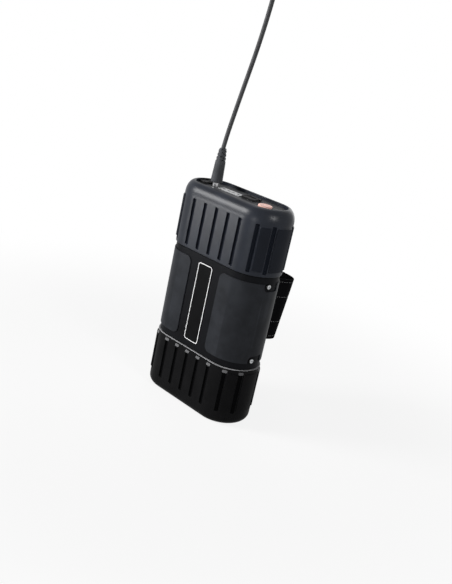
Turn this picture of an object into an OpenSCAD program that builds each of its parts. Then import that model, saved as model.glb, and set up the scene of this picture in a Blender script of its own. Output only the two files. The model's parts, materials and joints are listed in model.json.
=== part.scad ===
/* [Cells] */
// Diameter of one cell
cell_d = 18.4; // [17:0.1:22]
// Length of one cell
cell_l = 65.2; // [60:0.1:72]
// Gap between neighbouring cells
cell_gap = 0.4; // [0.2:0.1:1.5]
// Cells across the width
cells_across = 4; // [3:1:6]
// Room between the outer cells and the cap spigots
cell_room = 0.4; // [0.2:0.1:2]
// Thickness of the cell holders
holder_t = 6; // [4:0.5:8]
// Clearance of a cell in its holder
cell_fit = 0.15; // [0.05:0.05:0.3]
// Thickness of the contact strips
strip_t = 0.4; // [0.2:0.1:1]
// Thickness of the foam cushions
cushion_t = 4.6; // [3:0.1:8]

/* [Case] */
// Wall of the middle sleeve
wall = 2.4; // [1.6:0.1:4]
// Wall of the end caps
cap_wall = 2.8; // [2:0.1:4]
// Floor of the lower cap
base_t = 3; // [2:0.1:5]
// How far the caps stand out past the sleeve
cap_step = 1.2; // [0.6:0.1:2]
// Height of the lower cap up to its seam
lower_cap_h = 51; // [44:0.5:60]
// Height of the upper cap down to its seam
upper_cap_h = 53; // [48:0.5:62]
// Rounding of the outer ends of the caps
end_round = 6.5; // [3:0.1:6.8]
// Wall of the spigots that reach into the sleeve
spigot_t = 1.4; // [1:0.1:2]
// Length of the spigots inside the sleeve
spigot_l = 3.4; // [2:0.1:4]
// Clearance of the spigots in the sleeve
spigot_fit = 0.2; // [0.1:0.05:0.4]
// Thickness of the gaskets
gasket_t = 0.8; // [0.4:0.1:1.5]
// How far the gaskets lie inside the sleeve surface
gasket_inset = 0.4; // [0.2:0.1:1]

/* [Grip] */
// Distance between the grooves on the flat faces
groove_pitch = 12.8; // [10:0.1:13.4]
// Width of a groove
groove_w = 3.6; // [2:0.1:4]
// Depth of a groove
groove_depth = 1.2; // [0.6:0.1:1.6]
// Distance from a seam to the near ends of the grooves
groove_seam_gap = 2.6; // [2:0.1:5]
// Distance from an outer end to the far ends of the grooves
groove_end_gap = 11.6; // [9:0.1:15]
// Height of the raised ribs on the round ends
rib_raise = 0.8; // [0.4:0.1:1.5]
// Width of the tabs at the tops of the lower grooves
tab_w = 4.2; // [4:0.1:5]

/* [Panels] */
// Height of the side panels above the sleeve
panel_raise = 0.8; // [0.4:0.1:1.2]
// Distance from the middle to the front edges of the side panels
panel_front_x = 17; // [12:0.1:22]
// Distance from the middle to the back edges of the side panels
panel_back_x = 26; // [24.5:0.1:30]
// Distance from the seams to the side panels
panel_seam_gap = 5.5; // [4.5:0.1:8]
// Corner radius of the side panels
panel_corner = 5; // [2:0.1:8]
// Width of the label plate
label_w = 16.2; // [8:0.1:18]
// Height of the label plate
label_h = 67.5; // [40:0.5:68]
// Thickness of the label plate
label_t = 0.5; // [0.3:0.1:1]
// Corner radius of the label plate
label_corner = 2.6; // [1:0.1:4]

/* [Side screws] */
// Head diameter
screw_head_d = 4.4; // [4:0.1:6]
// Head height
screw_head_h = 1.6; // [1:0.1:2]
// Shank diameter
screw_d = 2.8; // [2:0.1:3.2]
// Shank length
screw_l = 9; // [6:0.1:12]
// Distance from the seams to the screws
screw_seam_gap = 7.5; // [7:0.1:9]

/* [Top panel] */
// Depth of the recess in the top
recess_depth = 2.7; // [2:0.1:4]
// Width of the rim round the recess
rim_w = 7; // [6.9:0.1:8]
// Thickness of the control panel
panel_t = 3; // [2:0.1:4]
// Width of the ledge under the control panel
ledge_w = 2; // [1.5:0.1:3]
// Thickness of that ledge
ledge_t = 2.6; // [2:0.1:4]
// Room between the main board and the control panel
socket_h = 9.7; // [9:0.1:13]
// Room between the two boards
wire_room = 20.6; // [12:0.1:30]
// Thickness of the boards
board_t = 1.6; // [1:0.1:2]
// Diameter of the power button
button_d = 11.4; // [10:0.1:13.5]
// How far the power button stands up
button_raise = 1.4; // [1.3:0.1:2.4]
// Travel of the power button
button_travel = 1.2; // [0.5:0.1:1.3]
// Distance between the charge lights
light_pitch = 5.4; // [4:0.1:5.8]
// Diameter of a charge light
light_d = 2.4; // [1.5:0.1:3]
// Thickness of the gauge strip
gauge_t = 0.5; // [0.3:0.1:1]
// Thickness of the port covers
cover_t = 1.5; // [1.3:0.1:2]

/* [Lead] */
// Outer diameter of the plug barrel
barrel_d = 5.5; // [4:0.1:5.6]
// Hole in the plug barrel
barrel_hole = 2.3; // [1.8:0.1:3]
// Running clearance of the barrel in its socket
barrel_fit = 0.08; // [0.03:0.01:0.1]
// Depth of the socket
bore_depth = 9.5; // [8:0.1:11]
// Length of barrel that shows above the panel
barrel_show = 3.7; // [2.9:0.1:6]
// Diameter of the plug handle at its foot
handle_d = 10; // [8:0.1:11]
// Diameter of the plug handle at its shoulder
shoulder_d = 8.6; // [6:0.1:9]
// Length of the smooth part of the handle
handle_l = 16; // [10:0.5:24]
// Length of the ribbed strain relief
relief_l = 12; // [8:0.5:20]
// Diameter of the cord
cord_d = 3.6; // [3:0.1:5]

/* [Strap] */
// Diameter of the leg that the strap holds
leg_d = 38.1; // [25:0.1:45]
// Clearance round the leg
leg_fit = 0.15; // [0.05:0.05:0.2]
// Width of the strap
strap_w = 56; // [30:0.5:62]
// Thickness of the strap
strap_t = 1.6; // [1:0.1:2]
// Clearance of the strap in its slot
strap_room = 0.4; // [0.3:0.1:0.8]
// Thickness of the saddle behind the slot and in front of the leg
saddle_t = 3.2; // [2:0.1:6]
// Slope of the leg away from the case
leg_tilt = 8.8; // [0:0.1:10]
// Thickness of the saddle plate against the sleeve, at mid height
saddle_plate_t = 10.3; // [8:0.1:14]
// Depth of the saddle horns beside the leg
saddle_horn = 5.8; // [3:0.1:9]
// Height of the saddle beyond the strap at each end
saddle_end = 4; // [3:0.1:6]
// Thickness of the overlapped strap end
tail_t = 1.4; // [0.8:0.1:2]

/* [Hidden] */
$fn = 64;
small_fn = 32;
over = 1;

// Plan of the case, built outwards from the cells
cell_r = cell_d / 2;
pitch = cell_d + cell_gap;
end_x = (cells_across - 1) / 2 * pitch;
stack_r = pitch / 2 + cell_r;
spigot_in = stack_r + cell_room;
spigot_out = spigot_in + spigot_t;
sleeve_in = spigot_out + spigot_fit;
body_r = sleeve_in + wall;
cap_r = body_r + cap_step;
cap_in = cap_r - cap_wall;
recess_r = cap_r - rim_w;
panel_fit = 0.15;
panel_r = recess_r - panel_fit;
ledge_r = recess_r - ledge_w;

// Heights, built upwards from the base
strip_z = [base_t + cushion_t, base_t + cushion_t + strip_t + cell_l,
           base_t + cushion_t + 2 * (strip_t + cell_l)];
guard_z = strip_z[2] + strip_t + cushion_t;
board_z = guard_z + board_t + wire_room;
board_top = board_z + board_t;
panel_z = board_top + socket_h;
floor_z = panel_z + panel_t;
total_h = floor_z + recess_depth;
lower_seam = lower_cap_h;
upper_seam = total_h - upper_cap_h;
lower_screw_z = lower_seam + screw_seam_gap;
upper_screw_z = upper_seam - screw_seam_gap;
mid_z = (lower_seam + upper_seam) / 2;
seam_band = 3;

// Grooves and ribs round the ends, in degrees from the front
groove_angles = [32, 64, 116, 148];
rib_margin = 6;
front_grooves = [-2, -1, 0, 1, 2];
lower_groove = [groove_end_gap, lower_seam - groove_seam_gap];
upper_groove = [upper_seam + groove_seam_gap, total_h - groove_end_gap];
tab_h = 2;
tab_raise = 0.3;

// Side screws and their pockets
screw_angle = 82;
spot_depth = 0.5;
spot_margin = 0.6;
spot_r = screw_head_d / 2 + spot_margin;
pocket_margin = 2;
pocket_r = screw_head_d / 2 + pocket_margin;
pocket_sweep = 26;
dome_share = 0.6;
thread_fit = 0.05;
screw_fit = 0.2;

// Layout of the top panel
plug_x = -30;
plug_y = 1;
charge_x = -39.5;
charge_y = 0;
gauge_x = -12.3;
gauge_y = 2;
gauge_w = 23.4;
gauge_d = 8;
light_count = 4;
usb_x = 8.2;
usb_y = 2.6;
usb_in = [12.5, 5.2];
usb_wall = 0.4;
usb_room = 0.2;
usb_depth = 11;
tongue = [11, 1.8, 8.5];
button_x = 27.5;
button_y = -0.5;
button_fit = 0.3;
flange_w = 0.8;
flange_t = 1.2;
flange_gap = 0.3;
switch_w = 6;
switch_h = 4.3;
switch_tip_d = 3;
switch_tip_fit = 0.2;
tip_reach = 0.9;
stem_d = 4.8;
shoulder_gap = 0.2;
nose_d = 8;
charge_nose_d = 6.8;
nose_fit = 0.2;
pin_d = 2;
socket_w = 9;
charge_socket_w = 7.2;

// Port covers: width, length from hinge to front edge, hinge height in plan
usb_cover_size = [14.4, 9.4];
usb_hinge_y = 8;
charge_cover_size = [7.6, 11];
charge_hinge_y = 6;
cover_gap = 0.3;
hinge_z = floor_z + cover_gap + cover_t / 2;
hinge_pin_d = 1;
hinge_fit = 0.06;
ear_t = 1.4;
ear_inset = 0.3;
ear_gap = 0.3;
ear_r = 1.1;
neck_l = 2;
cover_corner = 2;

// Boards and their fixings
board_room = 0.4;
board_r = ledge_r - board_room;
guard_inset = 1;
guard_r = board_r - guard_inset;
cushion_room = 0.6;
cushion_r = cap_r - end_round - cushion_room;
post_d = 4.4;
post_at = [[-33, 10.5], [-33, -10.5], [36.5, 8], [36.5, -8]];
board_screw_d = 1.8;
board_screw_l = 7.5;
board_head_d = 3.8;
board_head_h = 1.3;
lead_d = 2.6;
lead_at = [[-6, -8], [6, -8]];
light_chip = [2, 1.3, 0.8];
driver_chip = [6, 5, 2];
driver_count = 4;
driver_pitch = 10;
driver_y = 6;
strip_lap = 11;
cells_per_strip = 2;

// Strap and saddle behind the case
clamp_r = leg_d / 2 + leg_fit;
slot_t = strap_t + 2 * strap_room;
slot_y = body_r + saddle_plate_t;
cradle_y = slot_y + slot_t + saddle_t;
leg_y = cradle_y + clamp_r;
strap_drop = 6.5;
strap_mid_z = mid_z - strap_drop;
strap_z = strap_mid_z - strap_w / 2;
strap_front_y = slot_y + strap_room;
strap_bend = 2.2;
bend_x = clamp_r - strap_bend;
bend_y = strap_front_y + strap_t + strap_bend;
saddle_half = bend_x;
slot_end = 0.5;
tail_from = 95;
tail_sweep = 80;

// Lead: the plug stands in the output socket, and the cord rises from it
handle_z = floor_z + barrel_show;
barrel_end_gap = 0.5;
barrel_l = barrel_show + bore_depth - barrel_end_gap;
bore_r = barrel_d / 2 + barrel_fit;
relief_ribs = 4;
rib_fill = 0.55;
relief_wall = 1.3;
relief_end_d = cord_d + 2 * relief_wall;
relief_cut = 1;
cord_sides = 10;
cord_route = [
  [-30, 212], [-30, 216], [-29, 222], [-28, 229], [-26, 237], [-25, 245], [-23, 254], [-22, 262],
  [-20, 271], [-18, 279], [-17, 287], [-15, 296], [-14, 304], [-13, 312], [-12, 320], [-11, 328],
  [-10, 336], [-10, 342], [-10, 346]
];
far_x = cord_route[len(cord_route) - 1][0];
far_z = cord_route[len(cord_route) - 1][1];

// The case's plan is a rounded bar: a half section goes round both ends and along the flat faces
module bar_of() {
  for (s = [0, 1])
    mirror([s, 0, 0])
      translate([end_x, 0, 0])
        rotate(-90)
          rotate_extrude(angle = 180)
            children();
  rotate([90, 0, 90])
    linear_extrude(2 * end_x, center = true) {
      children();
      mirror([1, 0, 0])
        children();
    }
}

module bar(r, z, h) {
  bar_of()
    translate([0, z])
      square([r, h]);
}

module tube(outer, inner, z, h) {
  bar_of()
    translate([inner, z])
      square([outer - inner, h]);
}

module both_ends() {
  for (s = [0, 1])
    mirror([s, 0, 0])
      children();
}

// Turns the X axis outwards at an angle from the front, on the right-hand end
module at_end(angle) {
  translate([end_x, 0, 0])
    rotate(angle - 90)
      children();
}

// Repeats a piece at each groove, with the X axis pointing outwards
module at_grooves() {
  for (k = front_grooves)
    for (turn = [-90, 90])
      translate([k * groove_pitch, 0, 0])
        rotate(turn)
          children();
  both_ends()
    for (angle = groove_angles)
      at_end(angle)
        children();
}

module slot(z0, z1) {
  half = groove_w / 2;
  translate([cap_r - groove_depth, -half, z0 + half])
    cube([groove_depth + rib_raise + over, groove_w, z1 - z0 - groove_w]);
  for (z = [z0 + half, z1 - half])
    translate([cap_r - groove_depth, 0, z])
      rotate([0, 90, 0])
        cylinder(d = groove_w, h = groove_depth + rib_raise + over, $fn = small_fn);
}

// Raised ribs between neighbouring grooves on the round ends
module end_ribs(z0, z1) {
  half = groove_w / 2;
  both_ends()
    for (i = [0 : len(groove_angles) - 2])
      at_end(groove_angles[i] + rib_margin)
        rotate_extrude(angle = groove_angles[i + 1] - groove_angles[i] - 2 * rib_margin)
          translate([cap_r - groove_depth, z0 + half])
            square([groove_depth + rib_raise, z1 - z0 - groove_w]);
}

module rounded_end(z0, z1) {
  translate([0, z0])
    square([cap_r, z1 - end_round - z0]);
  translate([0, z0])
    square([cap_r - end_round, z1 - z0]);
  translate([cap_r - end_round, z1 - end_round])
    circle(end_round);
}

module upper_cap_section() {
  foot = upper_seam + gasket_t / 2;
  difference() {
    union() {
      rounded_end(foot, total_h);
      translate([spigot_in, foot - gasket_t - spigot_l])
        square([spigot_t, gasket_t + spigot_l + over]);
    }
    translate([-over, foot - over])
      square([spigot_in + over, seam_band + over]);
    translate([-over, foot + seam_band])
      square([cap_in + over, panel_z - ledge_t - foot - seam_band]);
    translate([-over, panel_z - ledge_t - over])
      square([ledge_r + over, ledge_t + 2 * over]);
    translate([-over, panel_z])
      square([recess_r + over, panel_t + recess_depth + over]);
  }
}

module upper_cap() {
  color("dimgray") {
    difference() {
      union() {
        bar_of()
          upper_cap_section();
        end_ribs(upper_groove[0], upper_groove[1]);
      }
      at_grooves()
        slot(upper_groove[0], upper_groove[1]);
    }
  }
}

module lower_cap_section() {
  head = lower_seam - gasket_t / 2;
  difference() {
    union() {
      translate([0, head])
        mirror([0, 1])
          rounded_end(0, head);
      translate([spigot_in, head - over])
        square([spigot_t, gasket_t + spigot_l + over]);
    }
    translate([-over, base_t])
      square([cap_in - end_round / 2 + over, end_round]);
    translate([-over, end_round])
      square([cap_in + over, head - seam_band - end_round]);
    translate([-over, head - seam_band - over])
      square([spigot_in + over, seam_band + 2 * over]);
  }
}

module lower_cap() {
  color("dimgray") {
    difference() {
      union() {
        bar_of()
          lower_cap_section();
        end_ribs(lower_groove[0], lower_groove[1]);
      }
      at_grooves()
        slot(lower_groove[0], lower_groove[1]);
    }
    at_grooves()
      translate([cap_r - groove_depth, -tab_w / 2, lower_groove[1] - groove_w / 2])
        cube([groove_depth + tab_raise, tab_w, tab_h]);
  }
}

module at_side_screws() {
  both_ends()
    for (z = [lower_screw_z, upper_screw_z])
      at_end(screw_angle)
        translate([body_r - spot_depth, 0, z])
          rotate([0, 90, 0])
            children();
}

module body_sleeve() {
  color("black")
    difference() {
      tube(body_r, sleeve_in, lower_seam + gasket_t / 2, upper_seam - lower_seam - gasket_t);
      at_side_screws() {
        cylinder(r = spot_r, h = spot_depth + over, $fn = small_fn);
        translate([0, 0, -wall - over])
          cylinder(d = screw_d + 2 * screw_fit, h = wall + 2 * over, $fn = small_fn);
      }
    }
}

// A rectangle in plan whose left corners are rounded
module tab_outline(x, w, z0, z1) {
  translate([x + panel_corner, z0])
    square([w, z1 - z0]);
  translate([x, z0 + panel_corner])
    square([w, z1 - z0 - 2 * panel_corner]);
  for (z = [z0 + panel_corner, z1 - panel_corner])
    translate([x + panel_corner, z])
      circle(panel_corner);
}

module right_panel_shape() {
  z0 = lower_seam + panel_seam_gap;
  z1 = upper_seam - panel_seam_gap;
  reach = end_x + body_r;
  depth = body_r + panel_raise + over;
  difference() {
    intersection() {
      tube(body_r + panel_raise, body_r, z0, z1 - z0);
      union() {
        rotate([90, 0, 0])
          linear_extrude(depth)
            tab_outline(panel_front_x, reach, z0, z1);
        rotate([90, 0, 0])
          translate([0, 0, -depth])
            linear_extrude(depth)
              tab_outline(panel_back_x, reach, z0, z1);
      }
    }
    for (z = [lower_screw_z, upper_screw_z]) {
      at_end(screw_angle)
        translate([body_r - over, 0, z])
          rotate([0, 90, 0])
            cylinder(r = pocket_r, h = panel_raise + 2 * over, $fn = small_fn);
      at_end(screw_angle)
        rotate_extrude(angle = pocket_sweep)
          translate([body_r - over, z - pocket_r])
            square([panel_raise + 2 * over, 2 * pocket_r]);
    }
  }
}

module right_side_panel() {
  color("darkslategray")
    right_panel_shape();
}

module left_side_panel() {
  color("darkslategray")
    mirror([1, 0, 0])
      right_panel_shape();
}

module label_plate() {
  z0 = mid_z - label_h / 2;
  color("silver")
    translate([0, -body_r, z0])
      rotate([90, 0, 0])
        linear_extrude(label_t) {
          translate([-label_w / 2, label_corner])
            square([label_w, label_h - 2 * label_corner]);
          translate([-label_w / 2 + label_corner, 0])
            square([label_w - 2 * label_corner, label_h]);
          for (x = [-1, 1], z = [label_corner, label_h - label_corner])
            translate([x * (label_w / 2 - label_corner), z])
              circle(label_corner, $fn = small_fn);
        }
}

module gasket(seam) {
  color("red")
    tube(body_r - gasket_inset, sleeve_in, seam - gasket_t / 2, gasket_t);
}

module upper_gasket() {
  gasket(upper_seam);
}

module lower_gasket() {
  gasket(lower_seam);
}

module side_screws() {
  dome_r = screw_head_d / 2;
  color("gainsboro")
    at_side_screws() {
      cylinder(r = dome_r, h = screw_head_h / 2, $fn = small_fn);
      translate([0, 0, screw_head_h / 2])
        cylinder(r1 = dome_r, r2 = dome_r * dome_share, h = screw_head_h / 2, $fn = small_fn);
      translate([0, 0, -screw_l])
        cylinder(d = screw_d, h = screw_l, $fn = small_fn);
    }
}

module at_lights() {
  for (i = [0 : light_count - 1])
    translate([gauge_x + (i - (light_count - 1) / 2) * light_pitch, gauge_y, 0])
      children();
}

module usb_block(z, h, extra) {
  w = usb_in[0] + 2 * usb_wall + 2 * extra;
  d = usb_in[1] + 2 * usb_wall + 2 * extra;
  translate([usb_x - w / 2, usb_y - d / 2, z])
    cube([w, d, h]);
}

// Ears that carry a cover's hinge pin
module ears(x, y, w) {
  for (s = [-1, 1])
    translate([x + s * (w / 2 - ear_inset - ear_t / 2), y, 0])
      difference() {
        union() {
          translate([-ear_t / 2, -ear_r, floor_z])
            cube([ear_t, 2 * ear_r, hinge_z - floor_z]);
          translate([-ear_t / 2, 0, hinge_z])
            rotate([0, 90, 0])
              cylinder(r = ear_r, h = ear_t, $fn = small_fn);
        }
        translate([-ear_t / 2 - over, 0, hinge_z])
          rotate([0, 90, 0])
            cylinder(d = hinge_pin_d + 2 * hinge_fit, h = ear_t + 2 * over, $fn = small_fn);
      }
}

module control_panel() {
  color("slategray") {
    difference() {
      bar(panel_r, panel_z, panel_t);
      translate([plug_x, plug_y, panel_z - over])
        cylinder(d = nose_d + 2 * nose_fit, h = panel_t + 2 * over);
      translate([charge_x, charge_y, panel_z - over])
        cylinder(d = charge_nose_d + 2 * nose_fit, h = panel_t + 2 * over);
      translate([button_x, button_y, panel_z - over])
        cylinder(d = button_d + 2 * button_fit, h = panel_t + 2 * over);
      at_lights()
        translate([0, 0, panel_z - over])
          cylinder(d = light_d + 2 * nose_fit, h = panel_t + 2 * over, $fn = small_fn);
      usb_block(panel_z - over, panel_t + 2 * over, usb_room);
    }
    for (p = post_at)
      translate([p[0], p[1], board_top])
        difference() {
          cylinder(d = post_d, h = socket_h, $fn = small_fn);
          translate([0, 0, -over])
            cylinder(d = board_screw_d + 2 * thread_fit, h = board_screw_l + over, $fn = small_fn);
        }
    ears(usb_x, usb_hinge_y, usb_cover_size[0]);
    ears(charge_x, charge_hinge_y, charge_cover_size[0]);
  }
}

module gauge_strip() {
  color("silver")
    difference() {
      translate([gauge_x - gauge_w / 2, gauge_y - gauge_d / 2, floor_z])
        cube([gauge_w, gauge_d, gauge_t]);
      at_lights()
        translate([0, 0, floor_z - over])
          cylinder(d = light_d + nose_fit, h = gauge_t + 2 * over, $fn = small_fn);
    }
}

module light_pipes() {
  foot = board_top + light_chip[2];
  color("lightgreen")
    at_lights()
      translate([0, 0, foot])
        cylinder(d = light_d, h = floor_z + gauge_t - foot, $fn = small_fn);
}

module status_lights() {
  color("white")
    at_lights()
      translate([-light_chip[0] / 2, -light_chip[1] / 2, board_top])
        cube(light_chip);
}

module power_button() {
  flange_z = panel_z - flange_gap - flange_t;
  shoulder_z = board_top + switch_h + button_travel + shoulder_gap;
  tip_z = board_top + switch_h - tip_reach;
  color("orangered")
    translate([button_x, button_y, 0]) {
      translate([0, 0, flange_z])
        cylinder(d = button_d, h = floor_z + button_raise - flange_z);
      translate([0, 0, flange_z])
        cylinder(d = button_d + 2 * button_fit + 2 * flange_w, h = flange_t);
      translate([0, 0, shoulder_z])
        cylinder(d = stem_d, h = flange_z - shoulder_z, $fn = small_fn);
      translate([0, 0, tip_z])
        cylinder(d = switch_tip_d, h = shoulder_z - tip_z, $fn = small_fn);
    }
}

module power_switch() {
  bore_z = board_top + switch_h - tip_reach - button_travel - shoulder_gap;
  color("dimgray")
    difference() {
      translate([button_x - switch_w / 2, button_y - switch_w / 2, board_top])
        cube([switch_w, switch_w, switch_h]);
      translate([button_x, button_y, bore_z])
        cylinder(d = switch_tip_d + 2 * switch_tip_fit, h = switch_h, $fn = small_fn);
    }
}

// A flat cover hinged at its back edge
module cover(x, y, size) {
  neck_w = size[0] - 2 * (ear_inset + ear_t + ear_gap);
  front = y - size[1];
  back = y - neck_l;
  half = size[0] / 2;
  translate([0, 0, hinge_z - cover_t / 2]) {
    translate([x - half, front + cover_corner, 0])
      cube([size[0], back - front - cover_corner, cover_t]);
    translate([x - half + cover_corner, front, 0])
      cube([size[0] - 2 * cover_corner, cover_corner, cover_t]);
    for (s = [-1, 1])
      translate([x + s * (half - cover_corner), front + cover_corner, 0])
        cylinder(r = cover_corner, h = cover_t, $fn = small_fn);
    translate([x - neck_w / 2, back, 0])
      cube([neck_w, neck_l, cover_t]);
  }
  translate([x - neck_w / 2, y, hinge_z])
    rotate([0, 90, 0])
      cylinder(d = cover_t, h = neck_w, $fn = small_fn);
  translate([x - half + ear_inset, y, hinge_z])
    rotate([0, 90, 0])
      cylinder(d = hinge_pin_d, h = size[0] - 2 * ear_inset, $fn = small_fn);
}

module usb_cover() {
  color("purple")
    cover(usb_x, usb_hinge_y, usb_cover_size);
}

module charge_cover() {
  color("purple")
    cover(charge_x, charge_hinge_y, charge_cover_size);
}

// A round power socket on the board, with its contact pin
module dc_socket(x, y, nose, w) {
  bore_z = floor_z - bore_depth;
  translate([x, y, 0]) {
    difference() {
      union() {
        translate([-w / 2, -w / 2, board_top])
          cube([w, w, socket_h]);
        translate([0, 0, board_top])
          cylinder(d = nose, h = floor_z - board_top);
      }
      translate([0, 0, bore_z])
        cylinder(r = bore_r, h = bore_depth + over);
    }
    translate([0, 0, bore_z])
      cylinder(d = pin_d, h = bore_depth - over, $fn = small_fn);
  }
}

module output_socket() {
  color("gray")
    dc_socket(plug_x, plug_y, nose_d, socket_w);
}

module charge_socket() {
  color("gray")
    dc_socket(charge_x, charge_y, charge_nose_d, charge_socket_w);
}

module usb_socket() {
  color("silver")
    difference() {
      usb_block(board_top, floor_z - board_top, 0);
      translate([usb_x - usb_in[0] / 2, usb_y - usb_in[1] / 2, floor_z - usb_depth])
        cube([usb_in[0], usb_in[1], usb_depth + over]);
    }
  color("ivory")
    translate([usb_x - tongue[0] / 2, usb_y + usb_in[1] / 2 - tongue[1] - usb_wall, floor_z - usb_depth])
      cube(tongue);
}

module main_board() {
  color("green")
    difference() {
      bar(board_r, board_z, board_t);
      for (p = post_at)
        translate([p[0], p[1], board_z - over])
          cylinder(d = board_screw_d + 2 * screw_fit, h = board_t + 2 * over, $fn = small_fn);
    }
}

module board_screws() {
  color("gold")
    for (p = post_at)
      translate([p[0], p[1], board_z]) {
        translate([0, 0, -board_head_h])
          cylinder(d = board_head_d, h = board_head_h, $fn = small_fn);
        cylinder(d = board_screw_d, h = board_screw_l, $fn = small_fn);
      }
}

module at_cells() {
  for (i = [0 : cells_across - 1], row = [-1, 1])
    translate([(i - (cells_across - 1) / 2) * pitch, row * pitch / 2, 0])
      children();
}

module battery_cells() {
  color("steelblue")
    for (layer = [0, 1])
      at_cells()
        translate([0, 0, strip_z[layer] + strip_t])
          cylinder(r = cell_r, h = cell_l);
}

module cell_holder(z) {
  color("khaki")
    difference() {
      bar(sleeve_in - spigot_fit, z - holder_t / 2, holder_t);
      at_cells()
        translate([0, 0, z - holder_t / 2 - over])
          cylinder(r = cell_r + cell_fit, h = holder_t + 2 * over);
      both_ends()
        at_end(screw_angle)
          translate([body_r - spot_depth - screw_l - over, 0, z])
            rotate([0, 90, 0])
              cylinder(d = screw_d + 2 * thread_fit, h = screw_l + 2 * over, $fn = small_fn);
    }
}

module upper_cell_holder() {
  cell_holder(upper_screw_z);
}

module lower_cell_holder() {
  cell_holder(lower_screw_z);
}

module contact_strips() {
  w = pitch + strip_lap;
  color("lightsteelblue")
    for (z = strip_z, s = [-1, 1])
      translate([s * (cells_across - cells_per_strip) / 2 * pitch - w / 2, -w / 2, z])
        cube([w, w, strip_t]);
}

module lower_cushion() {
  color("plum")
    bar(cushion_r, base_t, cushion_t);
}

module upper_cushion() {
  color("plum")
    bar(guard_r, strip_z[2] + strip_t, cushion_t);
}

module protection_board() {
  color("seagreen") {
    bar(guard_r, guard_z, board_t);
    for (i = [0 : driver_count - 1])
      translate([(i - (driver_count - 1) / 2) * driver_pitch - driver_chip[0] / 2, driver_y, guard_z + board_t])
        cube(driver_chip);
  }
}

module battery_leads() {
  color("firebrick")
    for (p = lead_at)
      translate([p[0], p[1], guard_z + board_t])
        cylinder(d = lead_d, h = wire_room, $fn = small_fn);
}

// Slopes a piece with the leg, about the middle of the strap
module on_leg() {
  translate([0, leg_y, strap_mid_z])
    rotate([-leg_tilt, 0, 0])
      translate([0, -leg_y, -strap_mid_z])
        children();
}

module leg_saddle() {
  high = strap_w + 2 * saddle_end;
  front_y = body_r - high / 2 * tan(leg_tilt) - 2 * over;
  back_y = cradle_y + saddle_horn;
  color("darkolivegreen")
    difference() {
      on_leg()
        translate([0, 0, strap_z - saddle_end])
          difference() {
            translate([-saddle_half, front_y, 0])
              cube([2 * saddle_half, back_y - front_y, high]);
            translate([0, leg_y, -over])
              cylinder(r = clamp_r, h = high + 2 * over, $fn = 96);
            translate([-saddle_half - over, slot_y, saddle_end - slot_end])
              cube([2 * saddle_half + 2 * over, slot_t, strap_w + 2 * slot_end]);
          }
      translate([-saddle_half - over, 0, lower_seam])
        cube([2 * saddle_half + 2 * over, body_r, upper_seam - lower_seam]);
    }
}

// The strap runs through the saddle's slot, round both corners and behind the leg
module strap_band() {
  color("navy")
    on_leg()
      translate([0, 0, strap_z]) {
        translate([0, leg_y, 0])
          rotate_extrude(angle = 180, $fn = 96)
            translate([clamp_r, 0])
              square([strap_t, strap_w]);
        for (s = [0, 1])
          mirror([s, 0, 0]) {
            translate([clamp_r, bend_y, 0])
              cube([strap_t, leg_y - bend_y, strap_w]);
            translate([bend_x, bend_y, 0])
              rotate(-90)
                rotate_extrude(angle = 90)
                  translate([strap_bend, 0])
                    square([strap_t, strap_w]);
          }
        translate([-bend_x, strap_front_y, 0])
          cube([2 * bend_x, strap_t, strap_w]);
      }
}

module strap_tail() {
  color("royalblue")
    on_leg()
      translate([0, leg_y, strap_z])
        rotate(tail_from)
          rotate_extrude(angle = tail_sweep, $fn = 96)
            translate([clamp_r + strap_t, 0])
              square([tail_t, strap_w]);
}

// A plug standing on its foot: a tapered handle, then a ribbed strain relief
function relief_d(share) = shoulder_d + (relief_end_d - shoulder_d) * share;
function rib_points(i) = let (a = i / relief_ribs, b = (i + rib_fill) / relief_ribs, c = (i + 1) / relief_ribs)
  [[relief_d(a) / 2, handle_l + a * relief_l], [relief_d(b) / 2, handle_l + b * relief_l],
   [relief_d(b) / 2 - relief_cut / 2, handle_l + b * relief_l],
   [relief_d(c) / 2 - relief_cut / 2, handle_l + c * relief_l]];

module plug_shape() {
  ribs = [for (i = [0 : relief_ribs - 1]) for (p = rib_points(i)) p];
  rotate_extrude()
    polygon(concat([[0, 0], [handle_d / 2, 0]], ribs, [[0, handle_l + relief_l]]));
}

module barrel_shape() {
  translate([0, 0, -barrel_l])
    difference() {
      cylinder(d = barrel_d, h = barrel_l);
      translate([0, 0, -over])
        cylinder(d = barrel_hole, h = barrel_l + 2 * over, $fn = small_fn);
    }
}

module near_plug() {
  translate([plug_x, plug_y, handle_z])
    children();
}

module far_plug() {
  translate([far_x, plug_y, far_z + handle_l + relief_l])
    mirror([0, 0, 1])
      children();
}

module plug_handle() {
  color("black")
    near_plug()
      plug_shape();
}

module plug_barrel() {
  color("gainsboro")
    near_plug()
      barrel_shape();
}

module far_plug_handle() {
  color("black")
    far_plug()
      plug_shape();
}

module far_plug_barrel() {
  color("gainsboro")
    far_plug()
      barrel_shape();
}

// Points of the cord's rings, square to the route at each point
function route_step(i) = cord_route[min(i + 1, len(cord_route) - 1)] - cord_route[max(i - 1, 0)];
function ring_point(i, j) = let (t = route_step(i) / norm(route_step(i)), a = 360 * j / cord_sides)
  [cord_route[i][0] + cord_d / 2 * cos(a) * t[1], plug_y + cord_d / 2 * sin(a),
   cord_route[i][1] - cord_d / 2 * cos(a) * t[0]];
function ring_index(i, j) = i * cord_sides + j % cord_sides;

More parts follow.
